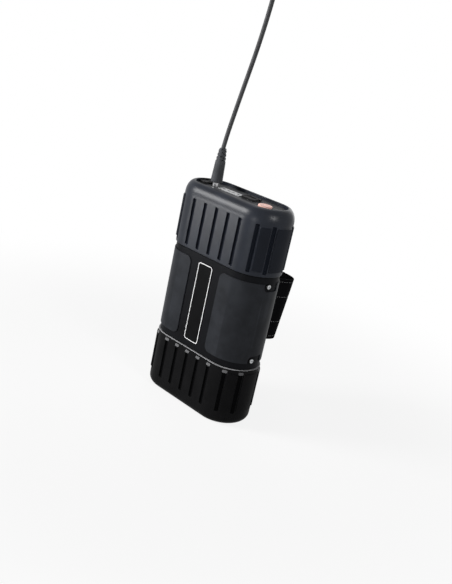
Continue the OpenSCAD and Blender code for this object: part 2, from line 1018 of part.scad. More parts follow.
module lead_cord() {
  rings = len(cord_route);
  points = [for (i = [0 : rings - 1]) for (j = [0 : cord_sides - 1]) ring_point(i, j)];
  sides = [for (i = [0 : rings - 2]) for (j = [0 : cord_sides - 1]) each [
    [ring_index(i, j), ring_index(i + 1, j), ring_index(i + 1, j + 1)],
    [ring_index(i, j), ring_index(i + 1, j + 1), ring_index(i, j + 1)]]];
  foot = [for (j = [0 : cord_sides - 1]) ring_index(0, j)];
  head = [for (j = [cord_sides - 1 : -1 : 0]) ring_index(rings - 1, j)];
  color("black")
    polyhedron(points = points, faces = concat(sides, [foot, head]));
}

body_sleeve();
left_side_panel();
right_side_panel();
label_plate();
upper_cap();
lower_cap();
upper_gasket();
lower_gasket();
side_screws();
control_panel();
gauge_strip();
light_pipes();
power_button();
usb_cover();
charge_cover();
output_socket();
charge_socket();
usb_socket();
main_board();
power_switch();
status_lights();
board_screws();
battery_cells();
upper_cell_holder();
lower_cell_holder();
contact_strips();
protection_board();
battery_leads();
lower_cushion();
upper_cushion();
leg_saddle();
strap_band();
strap_tail();
plug_barrel();
plug_handle();
lead_cord();
far_plug_handle();
far_plug_barrel();
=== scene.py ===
"""Looks of a portable battery power pack: ribbed case, top panel, leg strap and power lead.

Lengths are in metres. The case stands on the origin, its label faces -Y, and +X is to the right
of the label.
"""

import json
import logging
import math
from collections.abc import Callable, Iterable, Sequence
from dataclasses import dataclass, replace
from enum import Enum
from functools import cached_property
from typing import ClassVar

import bmesh
import bpy
from bmesh.types import BMEdge, BMFace, BMVert
from mathutils import Matrix, Vector


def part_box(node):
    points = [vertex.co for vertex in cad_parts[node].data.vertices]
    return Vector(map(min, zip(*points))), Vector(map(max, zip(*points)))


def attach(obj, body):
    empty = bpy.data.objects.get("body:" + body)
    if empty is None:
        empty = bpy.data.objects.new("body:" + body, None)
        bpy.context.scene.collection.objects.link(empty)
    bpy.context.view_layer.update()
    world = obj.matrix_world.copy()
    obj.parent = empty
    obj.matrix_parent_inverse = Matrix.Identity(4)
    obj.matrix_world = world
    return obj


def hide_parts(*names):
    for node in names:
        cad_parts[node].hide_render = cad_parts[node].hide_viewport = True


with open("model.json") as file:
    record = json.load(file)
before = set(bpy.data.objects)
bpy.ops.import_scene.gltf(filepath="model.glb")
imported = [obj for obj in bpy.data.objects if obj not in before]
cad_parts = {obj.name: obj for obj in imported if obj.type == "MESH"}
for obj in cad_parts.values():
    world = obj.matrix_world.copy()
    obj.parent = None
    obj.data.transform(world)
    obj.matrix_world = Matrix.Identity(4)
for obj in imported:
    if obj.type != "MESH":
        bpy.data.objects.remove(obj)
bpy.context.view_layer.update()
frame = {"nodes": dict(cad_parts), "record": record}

log = logging.getLogger("power_pack")

MM = 0.001
WELD = 0.002 * MM
CREASE = math.radians(38)
FULL_TURN = 2 * math.pi
HALF_TURN = math.pi
QUARTER_TURN = math.pi / 2
WHITE = (1.0, 1.0, 1.0, 1.0)

Pair = tuple[float, float]
Triple = tuple[float, float, float]
Tint = Triple
Corner = Triple


def spaced(length: float, count: int) -> list[float]:
    """Divides a length into equal steps, and returns where they start and end."""
    return [length * step / count for step in range(count + 1)]


def add_object(name: str, data: bpy.types.ID) -> bpy.types.Object:
    """Adds an object to the scene.

    Args:
        name: Name of the object.
        data: The mesh, curve, lamp or camera that it shows.

    Returns:
        The object.
    """
    made = bpy.data.objects.new(name, data)
    bpy.context.scene.collection.objects.link(made)
    return made


def rounded(corners: Sequence[Corner], steps: int = 6) -> list[Vector]:
    """Rounds the corners of an outline.

    Args:
        corners: Points with the radius of each, where 0 leaves a point as it is.
        steps: Straight pieces in each rounded corner.

    Returns:
        The points of the outline, in order.
    """
    points: list[Vector] = []
    for index, (x, y, radius) in enumerate(corners):
        here = Vector((x, y))
        if radius == 0:
            points.append(here)
            continue
        before = (Vector(corners[index - 1][:2]) - here).normalized()
        after = (Vector(corners[(index + 1) % len(corners)][:2]) - here).normalized()
        half = before.angle(after) / 2
        centre = here + (before + after).normalized() * (radius / math.sin(half))
        cut = radius / math.tan(half)
        start = (here + before * cut - centre).normalized()
        end = (here + after * cut - centre).normalized()
        points += [centre + start.slerp(end, share) * radius for share in spaced(1.0, steps)]
    return points


def fade(gap: float, outside: float, inside: float) -> float:
    """Eases from 0 at a distance outside an edge to 1 at a distance inside it.

    Args:
        gap: Distance from the edge, negative inside.
        outside: Where the rise starts.
        inside: Where it ends.

    Returns:
        The eased share.
    """
    share = min(1.0, max(0.0, (outside - gap) / (outside + inside)))
    return share * share * (3 - 2 * share)


def box_gap(x: float, y: float, half_x: float, half_y: float, corner: float) -> float:
    """Measures how far a point lies from a rounded box about the origin.

    Args:
        x: Place of the point.
        y: Place of the point.
        half_x: Half the width of the box.
        half_y: Half its height.
        corner: Its corner radius.

    Returns:
        The distance, negative inside.
    """
    over_x = abs(x) - half_x + corner
    over_y = abs(y) - half_y + corner
    outer = math.hypot(max(over_x, 0.0), max(over_y, 0.0))
    return outer + min(max(over_x, over_y), 0.0) - corner


def math_method(operation: str, swapped: bool = False) -> Callable[..., "Socket"]:
    """Makes a method of Socket out of a Math node.

    Args:
        operation: What the node works out.
        swapped: Whether the socket is the second value.

    Returns:
        The method.
    """

    def method(self: "Socket", other: "Socket | float" = 0.0) -> "Socket":
        """Adds the node to the socket's graph."""
        values = (other, self) if swapped else (self, other)
        return self.graph.math(operation, *values)

    return method


class Socket:
    """A shader output that takes part in Python expressions.

    at_least and at_most take the larger and the smaller of two values. Angles are in radians.
    """

    __add__ = math_method("ADD")
    __radd__ = math_method("ADD", True)
    __sub__ = math_method("SUBTRACT")
    __rsub__ = math_method("SUBTRACT", True)
    __mul__ = math_method("MULTIPLY")
    __truediv__ = math_method("DIVIDE")
    __abs__ = math_method("ABSOLUTE")
    at_least = math_method("MAXIMUM")
    at_most = math_method("MINIMUM")
    sine = math_method("SINE")
    root = math_method("SQRT")

    def __init__(self, graph: "Graph", output: bpy.types.NodeSocket) -> None:
        """Keeps the output and the graph that it belongs to."""
        self.graph = graph
        self.output = output


class Graph:
    """The shader nodes of a surface or of the surroundings."""

    def __init__(self, tree: bpy.types.NodeTree) -> None:
        """Starts with an empty tree."""
        self.tree = tree
        tree.nodes.clear()

    def node(self, kind: str, settings: dict | None = None, inputs: dict | None = None,
             output: int | str = 0) -> Socket:
        """Makes a node.

        Args:
            kind: Type of the node.
            settings: Properties of the node, which are set first.
            inputs: Values or links of its sockets, by name or number.
            output: The output that is returned.

        Returns:
            The wrapped output.
        """
        made = self.tree.nodes.new(kind)
        for name, value in (settings or {}).items():
            setattr(made, name, value)
        for name, value in (inputs or {}).items():
            self.feed(made.inputs[name], value)
        return Socket(self, made.outputs[output])

    def feed(self, target: bpy.types.NodeSocket, value: object) -> None:
        """Links a socket to an output, or sets its value.

        Args:
            target: The socket.
            value: A wrapped output, or a plain value.
        """
        if isinstance(value, Socket):
            self.tree.links.new(value.output, target)
        else:
            target.default_value = value

    def math(self, operation: str, first: object, second: object = 0.0) -> Socket:
        """Makes a Math node."""
        return self.node("ShaderNodeMath", {"operation": operation}, {0: first, 1: second})

    def place(self) -> Socket:
        """Returns the Object coordinates."""
        return self.node("ShaderNodeTexCoord", output="Object")

    def stretched(self, vector: Socket, scale: Triple) -> Socket:
        """Scales a vector along its axes."""
        return self.node("ShaderNodeVectorMath", {"operation": "MULTIPLY"}, {0: vector, 1: scale})

    def axis(self, vector: Socket, name: str) -> Socket:
        """Takes X, Y or Z of a vector."""
        return self.node("ShaderNodeSeparateXYZ", None, {0: vector}, name)

    def attribute(self, name: str) -> Socket:
        """Reads a number that the mesh carries at its points."""
        return self.node("ShaderNodeAttribute", {"attribute_name": name}, None, "Fac")

    def noise(self, vector: Socket, size: float, detail: float = 2.0) -> Socket:
        """Makes a noise whose blobs have about the given size."""
        return self.node("ShaderNodeTexNoise", None, {"Vector": vector, "Scale": 1 / size, "Detail": detail})

    def cells(self, vector: Socket, size: float) -> Socket:
        """Returns the distance from the middle of cells of about the given size."""
        return self.node("ShaderNodeTexVoronoi", None, {"Vector": vector, "Scale": 1 / size})

    def span(self, value: Socket, low: float, high: float) -> Socket:
        """Eases from 0 at the low value to 1 at the high one."""
        settings = {"interpolation_type": "SMOOTHSTEP"}
        return self.node("ShaderNodeMapRange", settings, {0: value, 1: low, 2: high})

    def mix(self, share: Socket, first: object, second: object) -> Socket:
        """Mixes two colours."""
        return self.node("ShaderNodeMix", {"data_type": "RGBA"}, {0: share, 6: first, 7: second}, 2)

    def bump(self, height: Socket, depth: float, normal: Socket | None = None) -> Socket:
        """Turns a height from 0 to 1 into a normal.

        Args:
            height: Height of the surface.
            depth: Distance between a height of 0 and of 1.
            normal: A normal to start from.

        Returns:
            The bumped normal.
        """
        inputs = {"Height": height, "Distance": depth, "Strength": 1.0}
        if normal:
            inputs["Normal"] = normal
        return self.node("ShaderNodeBump", None, inputs)


class Surface(Graph):
    """The nodes of one material, built round a Principled shader."""

    def __init__(self, name: str) -> None:
        """Starts a material with its shader and output.

        Args:
            name: Name of the material.
        """
        self.material = bpy.data.materials.new(name)
        self.material.use_nodes = True
        super().__init__(self.material.node_tree)
        self.shader = self.tree.nodes.new("ShaderNodeBsdfPrincipled")
        self.end = self.tree.nodes.new("ShaderNodeOutputMaterial")
        self.tree.links.new(self.shader.outputs[0], self.end.inputs[0])

    def set(self, name: str, value: object) -> None:
        """Links or sets a socket of the shader."""
        self.feed(self.shader.inputs[name], value)


@dataclass(frozen=True)
class Finish:
    """A moulded, rubber or metal surface with a grain, drifting colour and paler worn edges.

    Attributes:
        name: Name of the material.
        tint: Linear colour.
        roughness: Middle roughness.
        specular: Specular level.
        metallic: 1 for bare metal.
        grain: Size of the grain.
        relief: Depth of the grain.
        drift: Share by which the colour drifts.
        wear: Share by which edges turn paler.
        edge: Radius that softens the shading at hard edges.
        stretch: How much finer the grain is along each axis.
        sheen: Weight of a thin glossier coat.
    """

    name: str
    tint: Tint
    roughness: float = 0.5
    specular: float = 0.25
    metallic: float = 0.0
    grain: float = 0.45 * MM
    relief: float = 0.012 * MM
    drift: float = 0.18
    wear: float = 0.0
    edge: float = 0.0
    stretch: Triple = (1.0, 1.0, 1.0)
    sheen: float = 0.0

    grain_detail: ClassVar[float] = 3.0
    grain_gloss: ClassVar[float] = 0.1
    cloud_size: ClassVar[float] = 14 * MM
    cloud_detail: ClassVar[float] = 4.0
    cloud_span: ClassVar[Pair] = (0.3, 0.7)
    cloud_gloss: ClassVar[float] = 0.14
    noise_middle: ClassVar[float] = 0.5
    worn_edges: ClassVar[Pair] = (0.51, 0.6)
    worn_patches: ClassVar[Pair] = (0.25, 0.65)
    edge_samples: ClassVar[int] = 6
    coat_roughness: ClassVar[float] = 0.31

    def material(self) -> bpy.types.Material:
        """Returns the material, which is made once."""
        return bpy.data.materials.get(self.name) or self.build()

    def shade(self, factor: float) -> tuple[float, float, float, float]:
        """Returns the tint, made paler or darker."""
        return (*(min(1.0, part * factor) for part in self.tint), 1.0)

    def build(self) -> bpy.types.Material:
        """Builds the nodes.

        Returns:
            The new material.
        """
        graph = Surface(self.name)
        place = graph.place()
        grain = graph.noise(graph.stretched(place, self.stretch), self.grain, self.grain_detail)
        cloud = graph.noise(place, self.cloud_size, self.cloud_detail)
        drift = graph.span(cloud, *self.cloud_span)
        color = graph.mix(drift, self.shade(1 - self.drift), self.shade(1 + self.drift))
        if self.wear:
            point = graph.node("ShaderNodeNewGeometry", output="Pointiness")
            worn = graph.span(point, *self.worn_edges) * graph.span(cloud, *self.worn_patches)
            color = graph.mix(worn, color, self.shade(1 + self.wear))
        graph.set("Base Color", self.pattern(graph, place, color))
        rough = self.roughness + (cloud - self.noise_middle) * self.cloud_gloss
        rough = rough + (grain - self.noise_middle) * self.grain_gloss
        sheen = self.sheen
        dull = self.dull(graph)
        if dull:
            rough = rough + dull * (1 - self.roughness)
            sheen = (1 - dull) * sheen
        graph.set("Roughness", rough)
        graph.set("Metallic", self.metallic)
        graph.set("Specular IOR Level", self.specular)
        graph.set("Coat Weight", sheen)
        graph.set("Coat Roughness", self.coat_roughness)
        soft = None
        if self.edge:
            soft = graph.node("ShaderNodeBevel", {"samples": self.edge_samples}, {"Radius": self.edge})
        graph.set("Normal", graph.bump(self.height(graph, grain), self.relief, soft))
        return graph.material

    def pattern(self, graph: Graph, place: Socket, color: Socket) -> Socket:
        """Draws on the surface; here nothing is drawn.

        Args:
            graph: The nodes of the material.
            place: Object coordinates.
            color: Colour to draw on.

        Returns:
            The colour of the surface.
        """
        return color

    def dull(self, graph: Graph) -> Socket | None:
        """Returns where the gloss is lost; here nowhere."""
        return None

    def height(self, graph: Graph, grain: Socket) -> Socket:
        """Returns the grain as the height; other finishes add to it."""
        return grain


@dataclass(frozen=True)
class CapSkin(Finish):
    """Moulded cap with matt ribs, painted shade in the grooves and partly on the ribs, and a painted
    highlight where its mesh says so.

    Attributes:
        depth: Share of the colour that is left in the grooves, as painted shade.
        rib_matt_and_shade: How matt and dark the ribs are, from 0 to 1; the darkening is partly their matt
            rubber and partly painted shade on the round ends.
        bare: Colour of the painted highlight on the tabs and the lower cap's top edge.
    """

    depth: float = 0.8
    # How far the ribs are made matt and darkened, partly as painted shade.
    rib_matt_and_shade: float = 0.6
    bare: Tint = (0.3, 0.3, 0.31)

    groove_edge: ClassVar[Pair] = (0.0, 0.25)
    rib_shade: ClassVar[float] = 0.5

    def grooves(self, graph: Graph) -> Socket:
        """Returns 1 in the grooves, which the mesh marks, and 0 beside them."""
        return graph.span(graph.attribute("sunk"), *self.groove_edge)

    def ribs(self, graph: Graph) -> Socket:
        """Returns how matt and dark the ribs are, which the mesh marks, and 0 beside them."""
        return graph.attribute("ribbed") * self.rib_matt_and_shade

    def dull(self, graph: Graph) -> Socket:
        """Returns where the grooves and the ribs lie."""
        return self.grooves(graph).at_least(self.ribs(graph))

    def pattern(self, graph: Graph, place: Socket, color: Socket) -> Socket:
        """Paints shade on the ribs and in the grooves, and paints a highlight where the mesh marks it."""
        # Partly painted shade: the ribs on the round ends turn darker, for their matt rubber and in place of
        # the shade on the ends.
        ribs = graph.mix(self.ribs(graph), color, self.shade(self.rib_shade))
        # Painted shade: the grooves turn darker, in place of the shade that falls into them.
        deep = graph.mix(self.grooves(graph), ribs, self.shade(self.depth))
        # Painted highlight: the tabs and the lower cap's top edge turn pale, in place of the light that they
        # catch.
        return graph.mix(graph.attribute("rubbed"), deep, (*self.bare, 1.0))


@dataclass(frozen=True)
class GlintPaintedSteel(Finish):
    """Steel with a painted reflection: each head keeps its bright colour on the crown, which its mesh marks,
    and is darkened elsewhere.

    Attributes:
        rim: Share of the colour that is left beside the crown, as a painted dark reflection.
    """

    rim: float = 0.1

    def pattern(self, graph: Graph, place: Socket, color: Socket) -> Socket:
        """Keeps the colour on the crowns and darkens the rest, as a painted reflection."""
        return graph.mix(graph.attribute("crown"), self.shade(self.rim), color)


@dataclass(frozen=True)
class LabelFilm(Finish):
    """A dark film with a pale printed line round its edge.

    Attributes:
        centre_z: Height of the label's middle.
        half_w: Half the width inside the line's middle.
        half_h: Half the height inside the line's middle.
        corner: Corner radius of the line.
        line: Width of the line.
        blur: Share of the width over which its edge fades.
        ink: Colour of the line.
    """

    centre_z: float = 0.0
    half_w: float = 0.0
    half_h: float = 0.0
    corner: float = 0.0
    line: float = 0.0
    blur: float = 0.1
    ink: Tint = (0.8, 0.8, 0.8)

    def pattern(self, graph: Graph, place: Socket, color: Socket) -> Socket:
        """Draws the line as the outline of a rounded box."""
        over_x = abs(graph.axis(place, "X")) - (self.half_w - self.corner)
        over_z = abs(graph.axis(place, "Z") - self.centre_z) - (self.half_h - self.corner)
        side_x = over_x.at_least(0.0)
        side_z = over_z.at_least(0.0)
        gap = (side_x * side_x + side_z * side_z).root() + over_x.at_least(over_z).at_most(0.0)
        inner = self.line * (0.5 - self.blur)
        outer = self.line * (0.5 + self.blur)
        printed = 1 - graph.span(abs(gap - self.corner), inner, outer)
        return graph.mix(printed, color, (*self.ink, 1.0))


@dataclass(frozen=True)
class Webbing(Finish):
    """Woven strap, whose yarns follow the numbers along and across that its mesh carries.

    Attributes:
        yarn: Distance between the yarns.
    """

    yarn: float = 1.0 * MM

    twill_height: ClassVar[float] = 0.3
    yarn_height: ClassVar[float] = 0.2
    middle_height: ClassVar[float] = 0.5
    fuzz_height: ClassVar[float] = 0.3
    gap_span: ClassVar[Pair] = (0.2, 0.8)
    gap_shade: ClassVar[float] = 0.4

    def weave(self, graph: Graph) -> Socket:
        """Weaves a twill.

        Args:
            graph: The nodes of the material.

        Returns:
            The height, from 0 between the yarns to 1 on them.
        """
        turn = FULL_TURN / self.yarn
        across = graph.attribute("across")
        ribs = ((graph.attribute("along") + across) * turn).sine()
        yarns = (across * (2 * turn)).sine()
        return ribs * self.twill_height + yarns * self.yarn_height + self.middle_height

    def pattern(self, graph: Graph, place: Socket, color: Socket) -> Socket:
        """Darkens the gaps between the yarns."""
        return graph.mix(graph.span(self.weave(graph), *self.gap_span), self.shade(self.gap_shade), color)

    def height(self, graph: Graph, grain: Socket) -> Socket:
        """Adds fuzz to the weave."""
        return self.weave(graph) + grain * self.fuzz_height


@dataclass(frozen=True)
class BoardLaminate(Finish):
    """Circuit board with paler tracks under its lacquer."""

    track_field: ClassVar[float] = 9 * MM
    track_turns: ClassVar[float] = 60.0
    track_edge: ClassVar[float] = 0.75
    track_shade: ClassVar[float] = 2.4

    def pattern(self, graph: Graph, place: Socket, color: Socket) -> Socket:
        """Draws the tracks as thin level lines of a noise."""
        waves = (graph.noise(place, self.track_field, 1.0) * self.track_turns).sine()
        track = (waves - self.track_edge).at_least(0.0) / (1 - self.track_edge)
        return graph.mix(track, color, self.shade(self.track_shade))


@dataclass(frozen=True)
class Foam(Finish):
    """Open-cell foam."""

    pore_share: ClassVar[float] = 2.0
    fuzz_height: ClassVar[float] = 0.3

    def height(self, graph: Graph, grain: Socket) -> Socket:
        """Sinks a pore into every cell."""
        return graph.cells(graph.place(), self.grain * self.pore_share) + grain * self.fuzz_height


UPPER_CAP = CapSkin("cap_soft_black", (0.013, 0.0155, 0.022), 0.4, 0.02, wear=0.3, sheen=0.29)
# Painted shade: the lower cap is a darker copy of the cap's finish, in place of the light that falls off
# towards the bottom.
SHADED_LOWER_CAP = replace(UPPER_CAP, name="cap_black_painted_shade", tint=(0.005, 0.005, 0.0054), specular=0.01, sheen=0.06,
                    rib_matt_and_shade=0.1)
SLEEVE = Finish("sleeve_black", (0.0045, 0.0048, 0.0058), 0.45, 0.01, wear=0.3, sheen=0.07)
PANEL = Finish("side_panel_black", (0.016, 0.0174, 0.0207), 0.44, 0.01, wear=0.5, sheen=0.15)
LABEL = LabelFilm("label_film", (0.004, 0.0041, 0.0044), 0.4, 0.01, relief=0.004 * MM, sheen=0.045)
SEAL = Finish("seal_rubber_black", (0.004, 0.004, 0.004), 0.75, 0.05)
STEEL = Finish("bright_steel", (0.42, 0.43, 0.44), 0.22, 0.5, 1.0, relief=0.003 * MM, drift=0.05)
# Painted reflection: the screw heads are bright only on their crowns.
SCREWS = GlintPaintedSteel("side_screw_steel_painted_glint", (0.5, 0.51, 0.52), 0.24, 0.5, 1.0, relief=0.003 * MM, drift=0.05)
BRUSHED = replace(STEEL, name="drawn_steel", roughness=0.3, stretch=(1.0, 1.0, 0.05), edge=0.15 * MM)
NICKEL = replace(STEEL, name="bright_plug_nickel", tint=(0.66, 0.66, 0.67), roughness=0.34)
TOP_PANEL = Finish("top_panel_grey", (0.03, 0.031, 0.034), 0.5, 0.12, edge=0.25 * MM)
GAUGE = Finish("gauge_film_silver", (0.42, 0.425, 0.435), 0.38, 0.3, grain=0.2 * MM, edge=0.12 * MM)
LIGHTS = Finish("smoked_light_lens", (0.004, 0.0042, 0.004), 0.3, 0.02, relief=0.002 * MM)
BUTTON = Finish("button_salmon_satin", (0.85, 0.52, 0.45), 0.4, 0.3, wear=0.2)
COVER = Finish("cover_rubber_black", (0.014, 0.014, 0.015), 0.62, 0.08, wear=0.3)
SOCKET = Finish("socket_black", (0.01, 0.01, 0.01), 0.55, 0.1, edge=0.1 * MM)
BOARD = BoardLaminate("board_green", (0.015, 0.12, 0.045), 0.35, 0.5)
CELL_WRAP = Finish("cell_wrap_blue", (0.04, 0.13, 0.36), 0.3, 0.5, grain=3 * MM, relief=0.05 * MM)
HOLDER = Finish("holder_grey", (0.05, 0.05, 0.05), 0.6, 0.25, edge=0.2 * MM)
WIRE = Finish("wire_red", (0.4, 0.02, 0.015), 0.45, 0.3)
FOAM = Foam("foam_dark", (0.06, 0.06, 0.06), 0.9, 0.1, relief=0.3 * MM)
SADDLE = Finish("saddle_rubber_black", (0.01, 0.01, 0.011), 0.65, 0.05, edge=0.5 * MM)
STRAP = Webbing("strap_webbing_black", (0.006, 0.006, 0.007), 0.85, 0.01, grain=0.2 * MM, relief=0.12 * MM)
THREAD = Finish("strap_thread_grey", (0.18, 0.18, 0.185), 0.75, 0.1, grain=0.15 * MM, relief=0.04 * MM)
PLUG = Finish("plug_moulded_black", (0.048, 0.05, 0.055), 0.5, 0.1, relief=0.025 * MM, wear=0.4)
CORD = Finish("cord_jacket_black", (0.05, 0.051, 0.054), 0.36, 0.2, grain=1.5 * MM, relief=0.004 * MM)

CAD_FINISHES: dict[str, Finish] = {
    "body_sleeve": SLEEVE,
    "upper_gasket": SEAL,
    "lower_gasket": SEAL,
    "control_panel": TOP_PANEL,
    "gauge_strip": GAUGE,
    "output_socket": SOCKET,
    "charge_socket": SOCKET,
    "usb_socket": BRUSHED,
    "main_board": BOARD,
    "power_switch": SOCKET,
    "status_lights": LIGHTS,
    "board_screws": STEEL,
    "battery_cells": CELL_WRAP,
    "upper_cell_holder": HOLDER,
    "lower_cell_holder": HOLDER,
    "contact_strips": BRUSHED,
    "protection_board": BOARD,
    "battery_leads": WIRE,
    "leg_saddle": SADDLE,
}


@dataclass(frozen=True)
class Station:
    """A place where a swept section is set down.

    Attributes:
        x: Core point in plan.
        y: Core point in plan.
        turn: The way that the section faces, counted from the front to the right.
    """

    x: float
    y: float
    turn: float

    def matrix(self) -> Matrix:
        """Returns the matrix that carries a section drawn facing -Y to the station."""
        return Matrix.Translation((self.x, self.y, 0.0)) @ Matrix.Rotation(self.turn, 4, "Z")


class Form:
    """A mesh in the making, shaped by bmesh operators, that becomes a piece of the object."""

    def __init__(self) -> None:
        """Starts with an empty mesh."""
        self.bm = bmesh.new()

    def chain(self, points: Iterable[Vector], closed: bool) -> list[BMEdge]:
        """Joins points by edges.

        Args:
            points: The points, in order.
            closed: Whether the last point is joined to the first.

        Returns:
            The edges.
        """
        verts = [self.bm.verts.new(point) for point in points]
        after = verts[1:] + verts[:1] if closed else verts[1:]
        return [self.bm.edges.new(pair) for pair in zip(verts, after)]

    def sweep(self, section: Sequence[Vector], stations: Sequence[Station], loop: bool,
              ring: bool = True) -> None:
        """Carries a section from station to station.

        The points keep how far they lie along the path and across the section.

        Args:
            section: Points as reach from the core and height.
            stations: Where the section is set down.
            loop: Whether the path ends where it starts.
            ring: Whether the section is closed.
        """
        along = self.bm.verts.layers.float.new("along")
        across = self.bm.verts.layers.float.new("across")
        here = stations[0].matrix()
        edges = self.chain([here @ Vector((0.0, -point.x, point.y)) for point in section], ring)
        self.bm.verts.ensure_lookup_table()
        for index in range(1, len(section)):
            step = (section[index] - section[index - 1]).length
            self.bm.verts[index][across] = self.bm.verts[index - 1][across] + step
        first = edges
        travelled = 0.0
        middle = Vector((0.0, -sum(point.x for point in section) / len(section), 0.0))
        for station in [*stations[1:], stations[0]] if loop else stations[1:]:
            there = station.matrix()
            grown = bmesh.ops.extrude_edge_only(self.bm, edges=edges)["geom"]
            verts = [part for part in grown if isinstance(part, BMVert)]
            edges = [part for part in grown if isinstance(part, BMEdge)]
            bmesh.ops.transform(self.bm, matrix=there @ here.inverted(), verts=verts)
            travelled += (there @ middle - here @ middle).length
            for vert in verts:
                vert[along] = travelled
            here = there
        if not loop:
            for end in (first, edges):
                bmesh.ops.contextual_create(self.bm, geom=end)

    def spin(self, profile: Sequence[Vector], steps: int, matrix: Matrix) -> None:
        """Turns a profile about the Z axis.

        Args:
            profile: Points as radius and height.
            steps: Faces in a full turn.
            matrix: Where the turned shape goes.
        """
        known = set(self.bm.faces)
        edges = self.chain([Vector((point.x, 0.0, point.y)) for point in profile], False)
        verts = list({vert for edge in edges for vert in edge.verts})
        bmesh.ops.spin(self.bm, geom=[*verts, *edges], axis=(0, 0, 1), cent=(0, 0, 0), angle=FULL_TURN,
                       steps=steps, use_merge=True)
        made = [face for face in self.bm.faces if face not in known]
        turned = list({vert for face in made for vert in face.verts})
        bmesh.ops.transform(self.bm, matrix=matrix, verts=turned)

    def plate(self, outline: Sequence[Vector], thickness: float, cuts: Iterable[float] = ()) -> None:
        """Makes an upright plate that faces -Y.

        Args:
            outline: Points as X and Z.
            thickness: How far the plate stands out from Y = 0.
            cuts: Places along X where the plate is divided, so that it can be bent.
        """
        edges = self.chain([Vector((point.x, 0.0, point.y)) for point in outline], True)
        bmesh.ops.contextual_create(self.bm, geom=edges)
        for cut in cuts:
            geom = [*self.bm.verts, *self.bm.edges, *self.bm.faces]
            bmesh.ops.bisect_plane(self.bm, geom=geom, dist=WELD, plane_co=(cut, 0, 0), plane_no=(1, 0, 0))
        grown = bmesh.ops.extrude_face_region(self.bm, geom=list(self.bm.faces))["geom"]
        verts = [part for part in grown if isinstance(part, BMVert)]
        bmesh.ops.translate(self.bm, verts=verts, vec=(0, -thickness, 0))

    def move(self, matrix: Matrix) -> None:
        """Moves the whole form."""
        bmesh.ops.transform(self.bm, matrix=matrix, verts=self.bm.verts)

    def settle(self) -> None:
        """Merges doubles and turns the faces outwards."""
        bmesh.ops.remove_doubles(self.bm, verts=self.bm.verts, dist=WELD)
        bmesh.ops.recalc_face_normals(self.bm, faces=self.bm.faces)

    def soften(self, width: float, segments: int = 3, only: Iterable[BMEdge] | None = None) -> None:
        """Bevels sharp edges.

        Args:
            width: Width of the bevel.
            segments: Faces across the bevel.
            only: The edges to choose from, or all of them.
        """
        self.settle()
        pool = [edge for edge in (only or self.bm.edges) if edge.is_valid and edge.is_manifold]
        sharp = [edge for edge in pool if edge.calc_face_angle() > CREASE]
        bmesh.ops.bevel(self.bm, geom=sharp, offset=width, offset_type="OFFSET", affect="EDGES",
                        segments=segments, profile=0.5, material=-1, clamp_overlap=True)

    def piece(self, name: str, body: str, finish: Finish, slot: str, *stands_for: str) -> bpy.types.Object:
        """Turns the form into a piece.

        Args:
            name: Name of the piece.
            body: Body that it rides on.
            finish: Its finish.
            slot: Slot of the record that the finish belongs to.
            *stands_for: CAD nodes that it replaces.

        Returns:
            The new object.
        """
        self.settle()
        mesh = bpy.data.meshes.new(name)
        self.bm.to_mesh(mesh)
        self.bm.free()
        mesh.materials.append(finish.material())
        mesh.shade_smooth()
        mesh.set_sharp_from_angle(angle=CREASE)
        made = add_object(name, mesh)
        weighted = made.modifiers.new("weighted_normals", "WEIGHTED_NORMAL")
        weighted.keep_sharp = True
        join(made, body, slot, *stands_for)
        return made


def join(made: bpy.types.Object, body: str, slot: str, *stands_for: str) -> None:
    """Sets a piece on its body and reports it.

    Args:
        made: The piece.
        body: Body that it rides on.
        slot: Slot of the record that its finish belongs to; it is not used.
        *stands_for: CAD nodes that it replaces.
    """
    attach(made, body)
    if stands_for:
        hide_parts(*stands_for)
    log.info("%s rides on %s", made.name, body)


@dataclass(frozen=True)
class NodeBox:
    """The box round a CAD node.

    Attributes:
        low: Its lowest corner.
        high: Its highest corner.
    """

    low: Vector
    high: Vector

    @classmethod
    def of(cls, node: str) -> "NodeBox":
        """Reads the box of a node from the frame."""
        return cls(*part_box(node))

    @property
    def half(self) -> Vector:
        """Half the size along each axis."""
        return (self.high - self.low) / 2

    @property
    def middle(self) -> Vector:
        """The middle of the box."""
        return (self.low + self.high) / 2


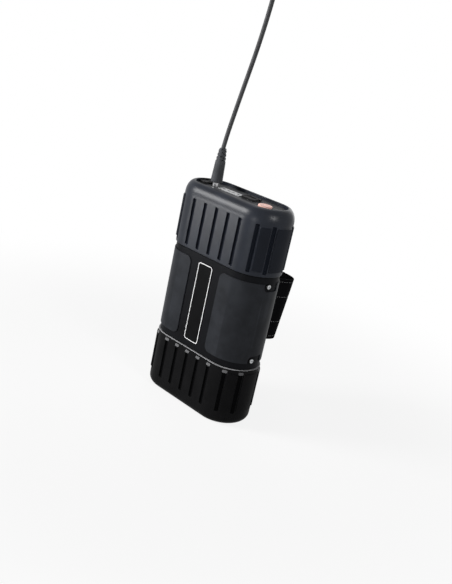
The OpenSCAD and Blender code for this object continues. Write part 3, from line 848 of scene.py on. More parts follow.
@dataclass(frozen=True)
class CasePlan:
    """Plan and heights of the case, read from the frame.

    The plan is a bar with round ends. A place on a cap's skin is given by how far it lies along
    the outline, counted to the right from the middle of the front, and by its height.

    Attributes:
        end_x: Half the length of the bar's core.
        body_reach: Reach of the sleeve from the core.
        cap_reach: Reach of the caps from the core.
        panel_reach: Reach of the top panel from the core.
        lower_seam: Height of the lower gasket's middle.
        upper_seam: Height of the upper gasket's middle.
        top: Height of the upper cap's top.
        recess_floor: Height of the floor of the top recess.
    """

    end_x: float
    body_reach: float
    cap_reach: float
    panel_reach: float
    lower_seam: float
    upper_seam: float
    top: float
    recess_floor: float

    @classmethod
    def from_frame(cls) -> "CasePlan":
        """Reads the sizes from the CAD nodes.

        Returns:
            The plan.
        """
        sleeve = NodeBox.of("body_sleeve").high
        cap = NodeBox.of("upper_cap").high
        return cls(
            end_x=sleeve.x - sleeve.y,
            body_reach=sleeve.y,
            cap_reach=cap.y,
            panel_reach=NodeBox.of("control_panel").high.y,
            lower_seam=NodeBox.of("lower_gasket").middle.z,
            upper_seam=NodeBox.of("upper_gasket").middle.z,
            top=cap.z,
            recess_floor=NodeBox.of("output_socket").high.z,
        )

    @property
    def bend(self) -> float:
        """Length of the outline round one end."""
        return HALF_TURN * self.cap_reach

    @property
    def outline(self) -> float:
        """Length of the whole outline."""
        return 2 * (self.bend + 2 * self.end_x)

    def station(self, along: float) -> Station:
        """Returns the station at a place along the outline.

        Args:
            along: Distance from the middle of the front.

        Returns:
            The station there.
        """
        along %= self.outline
        back = self.end_x + self.bend
        left = back + 2 * self.end_x
        if along < self.end_x:
            return Station(along, 0.0, 0.0)
        if along < back:
            return Station(self.end_x, 0.0, (along - self.end_x) / self.cap_reach)
        if along < left:
            return Station(self.end_x - (along - back), 0.0, HALF_TURN)
        if along < left + self.bend:
            return Station(-self.end_x, 0.0, HALF_TURN + (along - left) / self.cap_reach)
        return Station(along - self.outline, 0.0, FULL_TURN)

    def locate(self, point: Vector) -> tuple[float, Vector]:
        """Finds where a point lies.

        Args:
            point: The point.

        Returns:
            How far along the outline it lies, and its offset from the core of the bar.
        """
        core = max(-self.end_x, min(self.end_x, point.x))
        out = Vector((point.x - core, point.y, 0.0))
        if out.y > 0 and abs(point.x) <= self.end_x:
            return self.end_x + self.bend + self.end_x - point.x, out
        turn = math.atan2(out.x, -out.y)
        return (core + turn * self.cap_reach) % self.outline, out

    def apart(self, one: float, other: float) -> float:
        """Returns the signed distance between two places along the outline."""
        half = self.outline / 2
        return (one - other + half) % self.outline - half


class CapEnd(Enum):
    """Which end of the case a cap closes."""

    UPPER = "upper_cap"
    LOWER = "lower_cap"


@dataclass
class RibbedCap:
    """An end cap with pressed grooves and, on its round ends, raised ribs.

    Angles are in degrees round the right-hand end, counted from the front. The last four fields say
    where the points of the skin crowd: round the ends, across a groove as shares of its half width,
    past the side of a tab as shares of a rib's edge, and inwards from the ends of a groove.
    """

    plan: CasePlan
    end: CapEnd
    finish: Finish
    wall: float = 2.8 * MM
    floor: float = 3.0 * MM
    end_round: float = 6.5 * MM
    shoulder_rise: float = 10.9 * MM
    shoulder_steps: int = 16
    corner_steps: int = 12
    foot_round: float = 0.45 * MM
    rim_round: float = 0.4 * MM
    gasket_half: float = 0.4 * MM
    spigot_in: float = 19.0 * MM
    spigot_wall: float = 1.4 * MM
    spigot_reach: float = 4.2 * MM
    seam_band: float = 3.0 * MM
    recess_gap: float = 0.15 * MM
    recess_depth: float = 5.7 * MM
    ledge_w: float = 2.0 * MM
    ledge_t: float = 2.6 * MM
    groove_pitch: float = 12.8 * MM
    groove_half: float = 1.8 * MM
    groove_depth: float = 1.3 * MM
    groove_power: int = 4
    groove_corner: float = 0.9 * MM
    groove_lip: float = 0.15 * MM
    groove_seam_gap: float = 2.6 * MM
    groove_end_gap: float = 11.6 * MM
    groove_angles: tuple[float, ...] = (32.0, 64.0, 116.0, 148.0)
    groove_places: tuple[int, ...] = (-2, -1, 0, 1, 2)
    groove_rows: int = 8
    rib_margin: float = 6.0
    rib_raise: float = 0.8 * MM
    rib_corner: float = 0.6 * MM
    rib_edge: float = 0.2 * MM
    tab_half_w: float = 2.1 * MM
    tab_half_h: float = 1.0 * MM
    tab_raise: float = 0.3 * MM
    tab_slope: float = 0.35
    # Strength of the painted highlight on the tabs.
    tab_highlight: float = 0.4
    bend_steps: int = 44
    groove_shares: tuple[float, ...] = (0.25, 0.45, 0.62, 0.75, 0.84, 0.9, 0.95, 1.0, 1.06)
    tab_shares: tuple[float, ...] = (-0.5, 0.0, 0.5, 1.0, 1.3)
    end_gaps: tuple[float, ...] = tuple(
        gap * MM for gap in (-0.6, -0.4, -0.2, 0, 0.1, 0.2, 0.32, 0.5, 0.75, 1.05, 1.4, 1.6, 1.8, 2.0, 2.4)
    )

    def end_place(self, degrees: float) -> float:
        """Returns the place along the outline at an angle round the right-hand end."""
        return self.plan.end_x + math.radians(degrees) * self.plan.cap_reach

    @cached_property
    def grooves(self) -> list[float]:
        """Places of the grooves along the outline, on both faces and both ends."""
        half = self.plan.outline / 2
        flats = [place * self.groove_pitch for place in self.groove_places]
        ends = [self.end_place(angle) for angle in self.groove_angles]
        return [*flats, *(half + place for place in flats), *ends, *(-place for place in ends)]

    @cached_property
    def ribs(self) -> list[Pair]:
        """Middles and half widths of the raised ribs."""
        right: list[Pair] = []
        for low, high in zip(self.groove_angles, self.groove_angles[1:]):
            half = math.radians((high - low) / 2 - self.rib_margin) * self.plan.cap_reach
            right.append((self.end_place((low + high) / 2), half))
        return [*right, *((-middle, half) for middle, half in right)]

    @cached_property
    def groove_span(self) -> Pair:
        """Heights of the grooves' ends."""
        if self.end is CapEnd.UPPER:
            return self.plan.upper_seam + self.groove_seam_gap, self.plan.top - self.groove_end_gap
        return self.groove_end_gap, self.plan.lower_seam - self.groove_seam_gap

    def groove_gap(self, along: float) -> float:
        """Returns the signed distance to the middle line of the nearest groove."""
        return min((self.plan.apart(along, place) for place in self.grooves), key=abs)

    def sunk(self, along: float, height: float) -> float:
        """Finds how deep a groove is at a place: it is a channel with a rounded bottom.

        Args:
            along: Place along the outline.
            height: Height of the place.

        Returns:
            The share of the full depth.
        """
        low, high = self.groove_span
        gap = box_gap(self.groove_gap(along), height - (low + high) / 2, self.groove_half, (high - low) / 2,
                      self.groove_corner)
        wall = 1 + min(gap, 0.0) / self.groove_half
        return (1 - wall ** self.groove_power) * fade(gap, 0.0, self.groove_lip)

    def lift(self, along: float, height: float) -> float:
        """Finds how far the ribs raise the skin at a place.

        Args:
            along: Place along the outline.
            height: Height of the place.

        Returns:
            The rise.
        """
        low, high = self.groove_span
        half_h = (high - low) / 2 - self.groove_half
        up = height - (low + high) / 2
        gaps = [box_gap(self.plan.apart(along, place), up, half_w, half_h, self.rib_corner)
                for place, half_w in self.ribs]
        return self.rib_raise * fade(min(gaps), self.rib_edge, self.rib_edge)

    def tab(self, along: float, height: float) -> Pair:
        """Finds the tab that closes the top of a lower cap's groove.

        Args:
            along: Place along the outline.
            height: Height of the place.

        Returns:
            The share of a tab at the place, and how far out its sloping face lies there.
        """
        if self.end is CapEnd.UPPER:
            return 0.0, 0.0
        up = height - (self.groove_span[1] - self.groove_half + self.tab_half_h)
        gap = box_gap(self.groove_gap(along), up, self.tab_half_w, self.tab_half_h, self.rib_corner)
        return fade(gap, self.rib_edge, 0.0), self.tab_raise - self.tab_slope * up

    def press(self, form: Form) -> None:
        """Presses the grooves into the skin, raises the ribs and tabs, and marks where shade and highlights
        are painted.

        Args:
            form: The swept cap.
        """
        deep, rubbed, ribbed = map(form.bm.verts.layers.float.new, ("sunk", "rubbed", "ribbed"))
        head = self.plan.lower_seam - self.gasket_half
        for vert in form.bm.verts:
            along, out = self.plan.locate(vert.co)
            height = vert.co.z
            inside = self.plan.cap_reach - out.length
            if abs(inside) < WELD:
                groove = self.sunk(along, height)
                tab, face = self.tab(along, height)
                rib = self.lift(along, height) * (1 - groove)
                skin = rib - self.groove_depth * groove
                vert.co += out.normalized() * (skin * (1 - tab) + face * tab)
                # The groove and rib marks drive painted shade as well as dullness.
                vert[deep] = groove * (1 - tab)
                vert[ribbed] = rib * (1 - tab) / self.rib_raise
                # Painted highlight: the tabs' sloping faces are marked to turn pale, in place of the light
                # that they catch.
                vert[rubbed] = tab * self.tab_highlight
            # Painted highlight: the lower cap's rounded top edge is marked to turn pale, in place of the
            # light that it catches.
            if self.end is CapEnd.LOWER and inside < self.foot_round + WELD:
                vert[rubbed] = max(vert[rubbed], fade(head - height, self.foot_round, -self.foot_round / 2))

    def stations(self) -> list[Station]:
        """Sets the stations round the outline, close together at grooves and ribs.

        Returns:
            The stations, in order.
        """
        near = [self.groove_half * share for share in self.groove_shares]
        near += [self.tab_half_w + self.rib_edge * share for share in self.tab_shares]
        offsets = [0.0, *near, *(-gap for gap in near)]
        edges = [self.rib_edge * step / 2 for step in range(-3, 4)]
        marks = [place + offset for place in self.grooves for offset in offsets]
        for place, half in self.ribs:
            marks += [place + side * half + edge for side in (-1, 1) for edge in edges]
        for start in (self.plan.end_x, self.plan.outline / 2 + self.plan.end_x):
            marks += [start + bend for bend in spaced(self.plan.bend, self.bend_steps)]
        places: list[float] = []
        for mark in sorted(mark % self.plan.outline for mark in marks):
            if not places or mark - places[-1] > self.groove_lip / 3:
                places.append(mark)
        return [self.plan.station(place) for place in places]

    def skin(self) -> list[Corner]:
        """Draws the skin's points, close together at the grooves' ends.

        Returns:
            The points from the lowest to the highest.
        """
        low, high = self.groove_span
        rows = [low + rise for rise in spaced(high - low, self.groove_rows)[1:-1]]
        ends = [level for gap in self.end_gaps for level in (low + gap, high - gap)]
        return [(self.plan.cap_reach, level, 0.0) for level in sorted([*rows, *ends])]

    def shoulder(self) -> list[Corner]:
        """Draws the shoulder of the upper cap, which is taller than it is deep.

        Returns:
            The points from the skin to the top.
        """
        core = self.plan.cap_reach - self.end_round
        foot = self.plan.top - self.shoulder_rise
        return [(core + self.end_round * math.cos(turn), foot + self.shoulder_rise * math.sin(turn), 0.0)
                for turn in spaced(QUARTER_TURN, self.shoulder_steps)]

    def section(self) -> list[Vector]:
        """Draws half the cap's cross-section as reach and height.

        Returns:
            A closed loop for the upper cap, and for the lower cap a line that starts and ends on the core.
        """
        reach = self.plan.cap_reach
        inside = reach - self.wall
        spigot_out = self.spigot_in + self.spigot_wall
        if self.end is CapEnd.UPPER:
            foot = self.plan.upper_seam + self.gasket_half
            recess = self.plan.panel_reach + self.recess_gap
            ledge = self.plan.top - self.recess_depth
            return rounded([
                (self.spigot_in, foot - self.spigot_reach, 0.0),
                (spigot_out, foot - self.spigot_reach, 0.0),
                (spigot_out, foot, 0.0),
                (reach, foot, self.foot_round),
                *self.skin(),
                *self.shoulder(),
                (recess, self.plan.top, self.rim_round),
                (recess, ledge, 0.0),
                (recess - self.ledge_w, ledge, 0.0),
                (recess - self.ledge_w, ledge - self.ledge_t, 0.0),
                (inside, ledge - self.ledge_t, 0.0),
                (inside, foot + self.seam_band, 0.0),
                (self.spigot_in, foot + self.seam_band, 0.0),
            ], self.corner_steps)
        head = self.plan.lower_seam - self.gasket_half
        return rounded([
            (0.0, 0.0, 0.0),
            (reach, 0.0, self.end_round),
            *self.skin(),
            (reach, head, self.foot_round),
            (spigot_out, head, 0.0),
            (spigot_out, head + self.spigot_reach, 0.0),
            (self.spigot_in, head + self.spigot_reach, 0.0),
            (self.spigot_in, head - self.seam_band, 0.0),
            (inside, head - self.seam_band, 0.0),
            (inside, self.end_round, 0.0),
            (inside - self.end_round / 2, self.floor, 0.0),
            (0.0, self.floor, 0.0),
        ], self.corner_steps)

    def build(self) -> None:
        """Sweeps the section round the plan, then presses the grooves and raises the ribs."""
        form = Form()
        form.sweep(self.section(), self.stations(), True, self.end is CapEnd.UPPER)
        form.settle()
        self.press(form)
        form.piece(f"ribbed_{self.end.value}", "pack", self.finish, "cap_plastic", self.end.value)


class Side(Enum):
    """A side of the case, by the sign of its X."""

    LEFT = -1
    RIGHT = 1


@dataclass
class SleeveTrim:
    """Side panels, label and screws on the middle sleeve.

    Angles are in degrees round an end. A screw's dome is given from its foot up, as shares of the
    head's radius and height.
    """

    plan: CasePlan
    panel_raise: float = 0.8 * MM
    panel_front_x: float = 17.0 * MM
    panel_back_x: float = 26.0 * MM
    panel_seam_gap: float = 5.5 * MM
    panel_corner: float = 5.0 * MM
    panel_edge: float = 0.3 * MM
    panel_steps: int = 60
    pocket_reach: float = 4.2 * MM
    pocket_sweep: float = 26.0
    pocket_corner: float = 0.5 * MM
    pocket_share: float = 0.9
    screw_angle: float = 82.0
    screw_seam_gap: float = 7.5 * MM
    screw_sink: float = 0.5 * MM
    screw_head: float = 2.2 * MM
    screw_height: float = 1.6 * MM
    screw_shank: float = 1.4 * MM
    screw_length: float = 9.0 * MM
    screw_sides: int = 24
    screw_dome: tuple[Pair, ...] = ((1.0, 0.42), (0.95, 0.64), (0.82, 0.85), (0.66, 0.96))
    key_reach: float = 1.05 * MM
    key_floor: float = 0.45
    # Share of the head's radius within which the painted bright crown lies.
    crown_share: float = 0.75
    label_corner: float = 2.6 * MM
    border_inset: float = 0.55 * MM
    border_line: float = 0.62 * MM

    def screw_heights(self) -> Pair:
        """Returns the heights of the lower and upper screws."""
        return self.plan.lower_seam + self.screw_seam_gap, self.plan.upper_seam - self.screw_seam_gap

    def panel_outline(self) -> list[Vector]:
        """Draws a side panel unrolled, with a pocket for each screw.

        Returns:
            The outline as distance from the middle of the front and height.
        """
        pocket = self.plan.end_x + math.radians(self.screw_angle) * self.plan.body_reach
        start = pocket - self.pocket_reach
        end = pocket + math.radians(self.pocket_sweep) * self.plan.body_reach
        back = 2 * self.plan.end_x + HALF_TURN * self.plan.body_reach - self.panel_back_x
        low = self.plan.lower_seam + self.panel_seam_gap
        high = self.plan.upper_seam - self.panel_seam_gap
        sill = self.screw_heights()[0] + self.pocket_reach
        below = [
            (self.panel_front_x, low, self.panel_corner),
            (start, low, self.pocket_corner),
            (start, sill, self.pocket_reach * self.pocket_share),
            (end, sill, self.pocket_corner),
            (end, low, self.pocket_corner),
            (back, low, self.panel_corner),
        ]
        above = [(along, low + high - height, corner) for along, height, corner in reversed(below)]
        return rounded([*below, *above])

    def wrap(self, point: Vector, side: Side) -> Vector:
        """Bends a point of an unrolled panel round the case.

        Args:
            point: X along the outline, Y out from the sleeve as a negative number, and Z.
            side: Side of the case.

        Returns:
            The bent point.
        """
        reach = self.plan.body_reach - point.y
        turn = min(max(point.x - self.plan.end_x, 0.0) / self.plan.body_reach, HALF_TURN)
        core = point.x
        if turn > 0:
            core = min(2 * self.plan.end_x + HALF_TURN * self.plan.body_reach - point.x, self.plan.end_x)
        x = core + reach * math.sin(turn)
        return Vector((side.value * x, -reach * math.cos(turn), point.z))

    def panel(self, side: Side) -> None:
        """Builds one side panel.

        Args:
            side: Side of the case.
        """
        bends = spaced(HALF_TURN * self.plan.body_reach, self.panel_steps)
        form = Form()
        form.plate(self.panel_outline(), self.panel_raise, [self.plan.end_x + bend for bend in bends])
        form.settle()
        front = [
            edge for edge in form.bm.edges
            if all(vert.co.y < -self.panel_raise / 2 for vert in edge.verts)
        ]
        form.soften(self.panel_edge, 3, front)
        for vert in form.bm.verts:
            vert.co = self.wrap(vert.co, side)
        name = f"{side.name.lower()}_side_panel"
        form.piece(f"moulded_{name}", "pack", PANEL, "panel_plastic", name)

    def label(self) -> None:
        """Builds the label plate with its printed border."""
        box = NodeBox.of("label_plate")
        thickness = 2 * box.half.y
        ways = ((-1, -1), (1, -1), (1, 1), (-1, 1))
        form = Form()
        form.plate(rounded([(x * box.half.x, z * box.half.z, self.label_corner) for x, z in ways]), thickness)
        form.soften(thickness / 3, 2)
        form.move(Matrix.Translation((0, box.high.y, box.middle.z)))
        film = replace(
            LABEL,
            centre_z=box.middle.z,
            half_w=box.half.x - self.border_inset,
            half_h=box.half.z - self.border_inset,
            corner=self.label_corner - self.border_inset,
            line=self.border_line,
        )
        form.piece("bare_label_plate", "pack", film, "label_face", "label_plate")

    def screw(self, form: Form, matrix: Matrix) -> None:
        """Adds a dome-headed screw with a hexagonal socket.

        Args:
            form: The form that it is added to.
            matrix: Places the head's seat, with the head along Z.
        """
        known = set(form.bm.verts)
        crown = form.bm.verts.layers.float["crown"]
        rings = [
            (self.screw_shank, -self.screw_length),
            (self.screw_shank, 0.0),
            (self.screw_head, 0.0),
            *((self.screw_head * out, self.screw_height * up) for out, up in self.screw_dome),
            (self.key_reach, self.screw_height),
            (self.key_reach, self.screw_height * self.key_floor),
        ]
        sixth = FULL_TURN / 6
        loops: list[list[BMVert]] = []
        for radius, height in rings:
            loop = bmesh.ops.create_circle(form.bm, segments=self.screw_sides, radius=radius)["verts"]
            # Painted reflection: the crown and the socket are marked to stay bright, and the rest of the head
            # turns dark.
            bright = radius < self.screw_head * self.crown_share and height > self.screw_height / 3
            for vert in loop:
                vert[crown] = float(bright)
                if radius == self.key_reach:
                    turn = math.atan2(vert.co.y, vert.co.x) % sixth - sixth / 2
                    vert.co *= math.cos(sixth / 2) / math.cos(turn)
            bmesh.ops.translate(form.bm, verts=loop, vec=(0, 0, height))
            loops.append(loop)
        for one, other in zip(loops, loops[1:]):
            edges = {edge for vert in (*one, *other) for edge in vert.link_edges
                     if edge.is_wire or edge.is_boundary}
            bmesh.ops.bridge_loops(form.bm, edges=list(edges))
        for loop in (loops[0], loops[-1]):
            ends = {edge for vert in loop for edge in vert.link_edges if edge.is_boundary}
            bmesh.ops.contextual_create(form.bm, geom=list(ends))
        added = [vert for vert in form.bm.verts if vert not in known]
        bmesh.ops.transform(form.bm, matrix=matrix, verts=added)

    def screws(self) -> None:
        """Builds the four side screws as one piece."""
        form = Form()
        form.bm.verts.layers.float.new("crown")
        lie_down = Matrix.Rotation(QUARTER_TURN, 4, "X")
        seat = self.plan.body_reach - self.screw_sink
        for side in Side:
            station = Station(side.value * self.plan.end_x, 0.0, side.value * math.radians(self.screw_angle))
            for height in self.screw_heights():
                self.screw(form, station.matrix() @ Matrix.Translation((0, -seat, height)) @ lie_down)
        form.piece("dome_screws", "pack", SCREWS, "bright_steel", "side_screws")

    def build(self) -> None:
        """Builds the panels, the label and the screws."""
        for side in Side:
            self.panel(side)
        self.label()
        self.screws()


@dataclass
class TopPanel:
    """Button, lights and port covers in the recess of the upper cap."""

    plan: CasePlan
    button_round: float = 0.7 * MM
    button_dish: float = 0.25 * MM
    button_sides: int = 48
    dish_share: float = 0.62
    dish_ease: float = 0.25
    flange_t: float = 1.2 * MM
    flange_drop: float = 4.5 * MM
    flange_over: float = 1.1 * MM
    stem_radius: float = 2.4 * MM
    tip_radius: float = 1.5 * MM
    tip_round: float = 0.25 * MM
    tip_length: float = 2.3 * MM
    light_dome: float = 0.2 * MM
    light_count: int = 4
    light_sides: int = 24
    dome_steps: int = 5
    cover_corner: float = 2.0 * MM
    cover_edge: float = 0.3 * MM
    cover_border: float = 1.1 * MM
    cover_dip: float = 0.18 * MM
    neck_length: float = 2.7 * MM
    ear_corner: float = 0.6 * MM
    ear_reach: float = 2.0 * MM
    pin_radius: float = 0.5 * MM
    pin_inset: float = 0.3 * MM
    pin_sides: int = 24

    def button(self) -> None:
        """Turns the power button: dished cap, flange and stem."""
        box = NodeBox.of("power_button")
        flange = box.half.x
        foot = self.plan.recess_floor - self.flange_drop
        cap = flange - self.flange_over
        shoulder = box.low.z + self.tip_length
        profile = rounded([
            (0.0, box.low.z, 0.0),
            (self.tip_radius, box.low.z, self.tip_round),
            (self.tip_radius, shoulder, 0.0),
            (self.stem_radius, shoulder, 0.0),
            (self.stem_radius, foot, 0.0),
            (flange, foot, 0.0),
            (flange, foot + self.flange_t, 0.0),
            (cap, foot + self.flange_t, 0.0),
            (cap, box.high.z, self.button_round),
            (cap * self.dish_share, box.high.z, cap * self.dish_ease),
            (0.0, box.high.z - self.button_dish, 0.0),
        ])
        form = Form()
        form.spin(profile, self.button_sides, Matrix.Translation((box.middle.x, box.middle.y, 0.0)))
        form.piece("dished_power_button", "button", BUTTON, "button_orange", "power_button")

    def lights(self) -> None:
        """Turns the four charge lights with slightly domed tops."""
        box = NodeBox.of("light_pipes")
        radius = box.half.y
        pitch = 2 * (box.half.x - radius) / (self.light_count - 1)
        rim = box.high.z - self.light_dome
        profile = [Vector((0.0, box.low.z)), Vector((radius, box.low.z))]
        for turn in spaced(QUARTER_TURN, self.dome_steps):
            profile.append(Vector((radius * math.cos(turn), rim + self.light_dome * math.sin(turn))))
        form = Form()
        for index in range(self.light_count):
            x = box.low.x + radius + index * pitch
            form.spin(profile, self.light_sides, Matrix.Translation((x, box.middle.y, 0.0)))
        form.piece("charge_light_lenses", "pack", LIGHTS, "light_clear", "light_pipes")

    def cover(self, node: str, body: str) -> None:
        """Builds a rubber port cover with its hinge barrel and pin.

        Args:
            node: CAD node that it replaces.
            body: Body that it rides on.
        """
        box = NodeBox.of(node)
        half = box.half.x
        thickness = 2 * box.half.z
        hinge_y = box.high.y - thickness / 2
        back = -self.neck_length
        neck = half - self.ear_reach
        front = box.low.y - hinge_y
        form = Form()
        form.plate(rounded([
            (-half, front, self.cover_corner),
            (half, front, self.cover_corner),
            (half, back, self.ear_corner),
            (neck, back, 0.0),
            (neck, 0.0, 0.0),
            (-neck, 0.0, 0.0),
            (-neck, back, 0.0),
            (-half, back, self.ear_corner),
        ]), thickness)
        form.settle()
        top = [face for face in form.bm.faces if face.calc_center_median().y < WELD - thickness]
        bmesh.ops.inset_region(form.bm, faces=top, thickness=self.cover_border, use_even_offset=True)
        bmesh.ops.inset_region(form.bm, faces=top, thickness=self.cover_dip, depth=-self.cover_dip,
                               use_even_offset=True)
        rim = [edge for edge in form.bm.edges if all(vert.co.y < WELD - thickness for vert in edge.verts)]
        form.soften(self.cover_edge, 3, rim)
        lie_flat = Matrix.Rotation(-QUARTER_TURN, 4, "X")
        form.move(Matrix.Translation((0, 0, -thickness / 2)) @ lie_flat)
        across = Matrix.Rotation(QUARTER_TURN, 4, "Y")
        for radius, length in ((thickness / 2, neck), (self.pin_radius, half - self.pin_inset)):
            bmesh.ops.create_cone(form.bm, cap_ends=True, segments=self.pin_sides, radius1=radius,
                                  radius2=radius, depth=2 * length, matrix=across)
        form.move(Matrix.Translation((box.middle.x, hinge_y, box.middle.z)))
        form.piece(f"soft_{node}", body, COVER, "cover_rubber", node)

    def build(self) -> None:
        """Builds the button, the lights and both covers."""
        self.button()
        self.lights()
        self.cover("usb_cover", "usb_flap")
        self.cover("charge_cover", "charge_flap")


@dataclass
class FoamPads:
    """Foam pads that hold the cells at both ends."""

    plan: CasePlan
    edge_round: float = 1.6 * MM
    flat_inset: float = 4.8 * MM
    crown: float = 0.25 * MM
    bend_steps: int = 24
    fill: float = 0.9

    def pad(self, node: str) -> None:
        """Builds one pad, crowned in the middle and rounded at its edges.

        Args:
            node: CAD node that it replaces.
        """
        low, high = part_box(node)
        pad = replace(self.plan, end_x=high.x - high.y, cap_reach=high.y)
        inner = high.y - self.flat_inset
        section = rounded([
            (0.0, low.z, 0.0),
            (inner, low.z, 0.0),
            (high.y, low.z + self.crown, self.edge_round),
            (high.y, high.z - self.crown, self.edge_round),
            (inner, high.z, 0.0),
            (0.0, high.z, 0.0),
        ])
        starts = (pad.end_x, pad.outline / 2 + pad.end_x)
        bends = spaced(pad.bend, self.bend_steps)
        form = Form()
        form.sweep(section, [pad.station(start + bend) for start in starts for bend in bends], True, False)
        made = form.piece(f"crowned_{node}", "pack", FOAM, "foam", node)

    def build(self) -> None:
        """Builds both pads."""
        self.pad("lower_cushion")
        self.pad("upper_cushion")


@dataclass
class LegStrap:
    """Sewn strap that runs behind the case and round a leg.

    The tail's angles are in degrees from the front. A sewing line's dip is given by distances from
    the line and shares of its depth.

    Attributes:
        lean: Slopes an upright strap as the leg does.
        leg_y: Where the leg's line is at the strap's middle.
        middle_z: Height of the strap's middle.
        leg_radius: Radius inside the strap.
    """

    lean: Matrix
    leg_y: float
    middle_z: float
    leg_radius: float
    bend: float = 2.2 * MM
    width: float = 56.0 * MM
    leg_reach: float = 20.6 * MM
    thickness: float = 1.6 * MM
    inner_round: float = 0.4 * MM
    outer_round: float = 0.6 * MM
    front_steps: int = 4
    corner_steps: int = 8
    side_steps: int = 8
    back_steps: int = 48
    tail_thickness: float = 1.4 * MM
    tail_from: float = 185.0
    tail_sweep: float = 80.0
    tail_steps: int = 24
    hem_dip: float = 0.22 * MM
    hem_lines: tuple[float, ...] = (3.0 * MM, 16.5 * MM, 39.5 * MM, 53.0 * MM)
    hem_profile: tuple[Pair, ...] = (
        (-0.9 * MM, 0.0), (-0.4 * MM, 0.8), (0.0, 1.0), (0.4 * MM, 0.8), (0.9 * MM, 0.0)
    )
    stitch_length: float = 2.3 * MM
    stitch_pitch: float = 3.1 * MM
    stitch_width: float = 0.55 * MM
    clear_of_tail: float = 0.06
    inside_tail: float = 0.04

    @classmethod
    def from_frame(cls) -> "LegStrap":
        """Reads the leg's line and radius from the strap's mount.

        Returns:
            The strap.
        """
        mount = next(mount for mount in frame["record"]["mounts"] if mount["name"] == "leg_strap")
        middle = Vector(mount["pos_m"])
        slope = Vector((0.0, 0.0, 1.0)).rotation_difference(Vector(mount["axis"])).to_matrix().to_4x4()
        lean = Matrix.Translation(middle) @ slope @ Matrix.Translation(-middle)
        return cls(lean, middle.y, middle.z, mount["dims"]["r_mm"] * MM)

    @property
    def core(self) -> float:
        """Reach of the line that the band's section is set along."""
        return self.leg_radius - self.bend

    @property
    def front_y(self) -> float:
        """Where the front run's line is."""
        return self.leg_y - self.leg_reach

    @property
    def low(self) -> float:
        """Height of the strap's lower edge."""
        return self.middle_z - self.width / 2

    def around(self, turn: float) -> Station:
        """Returns the station behind the leg that faces a given way."""
        return Station(self.core * math.sin(turn), self.leg_y - self.core * math.cos(turn), turn)

    def path(self) -> list[Station]:
        """Lays the path of the band: front run, corners, sides and back.

        Returns:
            The stations, in order.
        """
        core, front = self.core, self.front_y
        half = [Station(x, front, 0.0) for x in spaced(core, self.front_steps)[:-1]]
        half += [Station(core, front, turn) for turn in spaced(QUARTER_TURN, self.corner_steps)]
        runs = spaced(self.leg_reach, self.side_steps)[1:-1]
        half += [Station(core, front + run, QUARTER_TURN) for run in runs]
        back = [self.around(QUARTER_TURN + turn) for turn in spaced(HALF_TURN, self.back_steps)]
        mirrored = [Station(-place.x, place.y, FULL_TURN - place.turn)
                    for place in reversed(half) if place.x > 0]
        return [*half, *back, *mirrored]

    def section(self, reach: float, thickness: float) -> list[Vector]:
        """Draws a strap's cross-section, dipped along its sewing lines.

        Args:
            reach: Distance of the inner face from the core.
            thickness: Thickness of the webbing.

        Returns:
            The points, as reach and height.
        """
        outer = reach + thickness
        high = self.low + self.width
        dips = [(outer - self.hem_dip * sink, self.low + line + offset, 0.0)
                for line in self.hem_lines for offset, sink in self.hem_profile]
        return rounded([
            (reach, high, self.inner_round),
            (reach, self.low, self.inner_round),
            (outer, self.low, self.outer_round),
            *dips,
            (outer, high, self.outer_round),
        ], 4)

    def weave(self, node: str, section: Sequence[Vector], path: Sequence[Station],
              loop: bool) -> bpy.types.Object:
        """Weaves a length of webbing.

        Args:
            node: CAD node that it replaces.
            section: Its cross-section.
            path: Stations along it.
            loop: Whether it ends where it starts.

        Returns:
            The webbing.
        """
        form = Form()
        form.sweep(section, path, loop)
        form.move(self.lean)
        return form.piece(f"woven_{node}", "pack", STRAP, "webbing", node)

    def sew(self, name: str, stations: Sequence[Station], reach: float) -> bpy.types.Object:
        """Sews threads along the sewing lines.

        Args:
            name: Name of the piece.
            stations: Where the threads lie, one each.
            reach: Distance of the outer face from the core.

        Returns:
            The threads as one piece.
        """
        form = Form()
        thick = self.stitch_width / 2
        sizes = Matrix.Diagonal((self.stitch_length / 2, thick, thick, 1.0))
        for station in stations:
            for line in self.hem_lines:
                place = Matrix.Translation((0, -reach + self.hem_dip, self.low + line))
                bmesh.ops.create_uvsphere(form.bm, u_segments=6, v_segments=5, radius=1.0,
                                          matrix=self.lean @ station.matrix() @ place @ sizes)
        return form.piece(name, "pack", THREAD, "webbing")

    def build(self) -> None:
        """Builds the band, the overlapped tail and the threads."""
        outer = self.bend + self.thickness
        start = math.radians(self.tail_from)
        sweep = math.radians(self.tail_sweep)
        end = start + sweep
        tail_path = [self.around(start + turn) for turn in spaced(sweep, self.tail_steps)]
        band = self.weave("strap_band", self.section(self.bend, self.thickness), self.path(), True)
        tail = self.weave("strap_tail", self.section(outer, self.tail_thickness), tail_path, False)
        radius = self.core + outer
        count = int(HALF_TURN * radius / self.stitch_pitch)
        turns = [QUARTER_TURN + HALF_TURN * (step + 0.5) / count for step in range(count)]
        under = [turn for turn in turns if not start - self.clear_of_tail < turn < end + self.clear_of_tail]
        over = [turn for turn in turns if start + self.inside_tail < turn < end - self.inside_tail]
        rows = int(self.leg_reach / self.stitch_pitch)
        runs = [self.front_y + self.leg_reach * (step + 0.5) / rows for step in range(rows)]
        sides = [Station(sign * self.core, y, sign * QUARTER_TURN) for y in runs for sign in (-1, 1)]
        sewn = self.sew("strap_stitching", [*sides, *map(self.around, under)], outer)
        tail_sewn = self.sew("tail_stitching", [*map(self.around, over)], outer + self.tail_thickness)


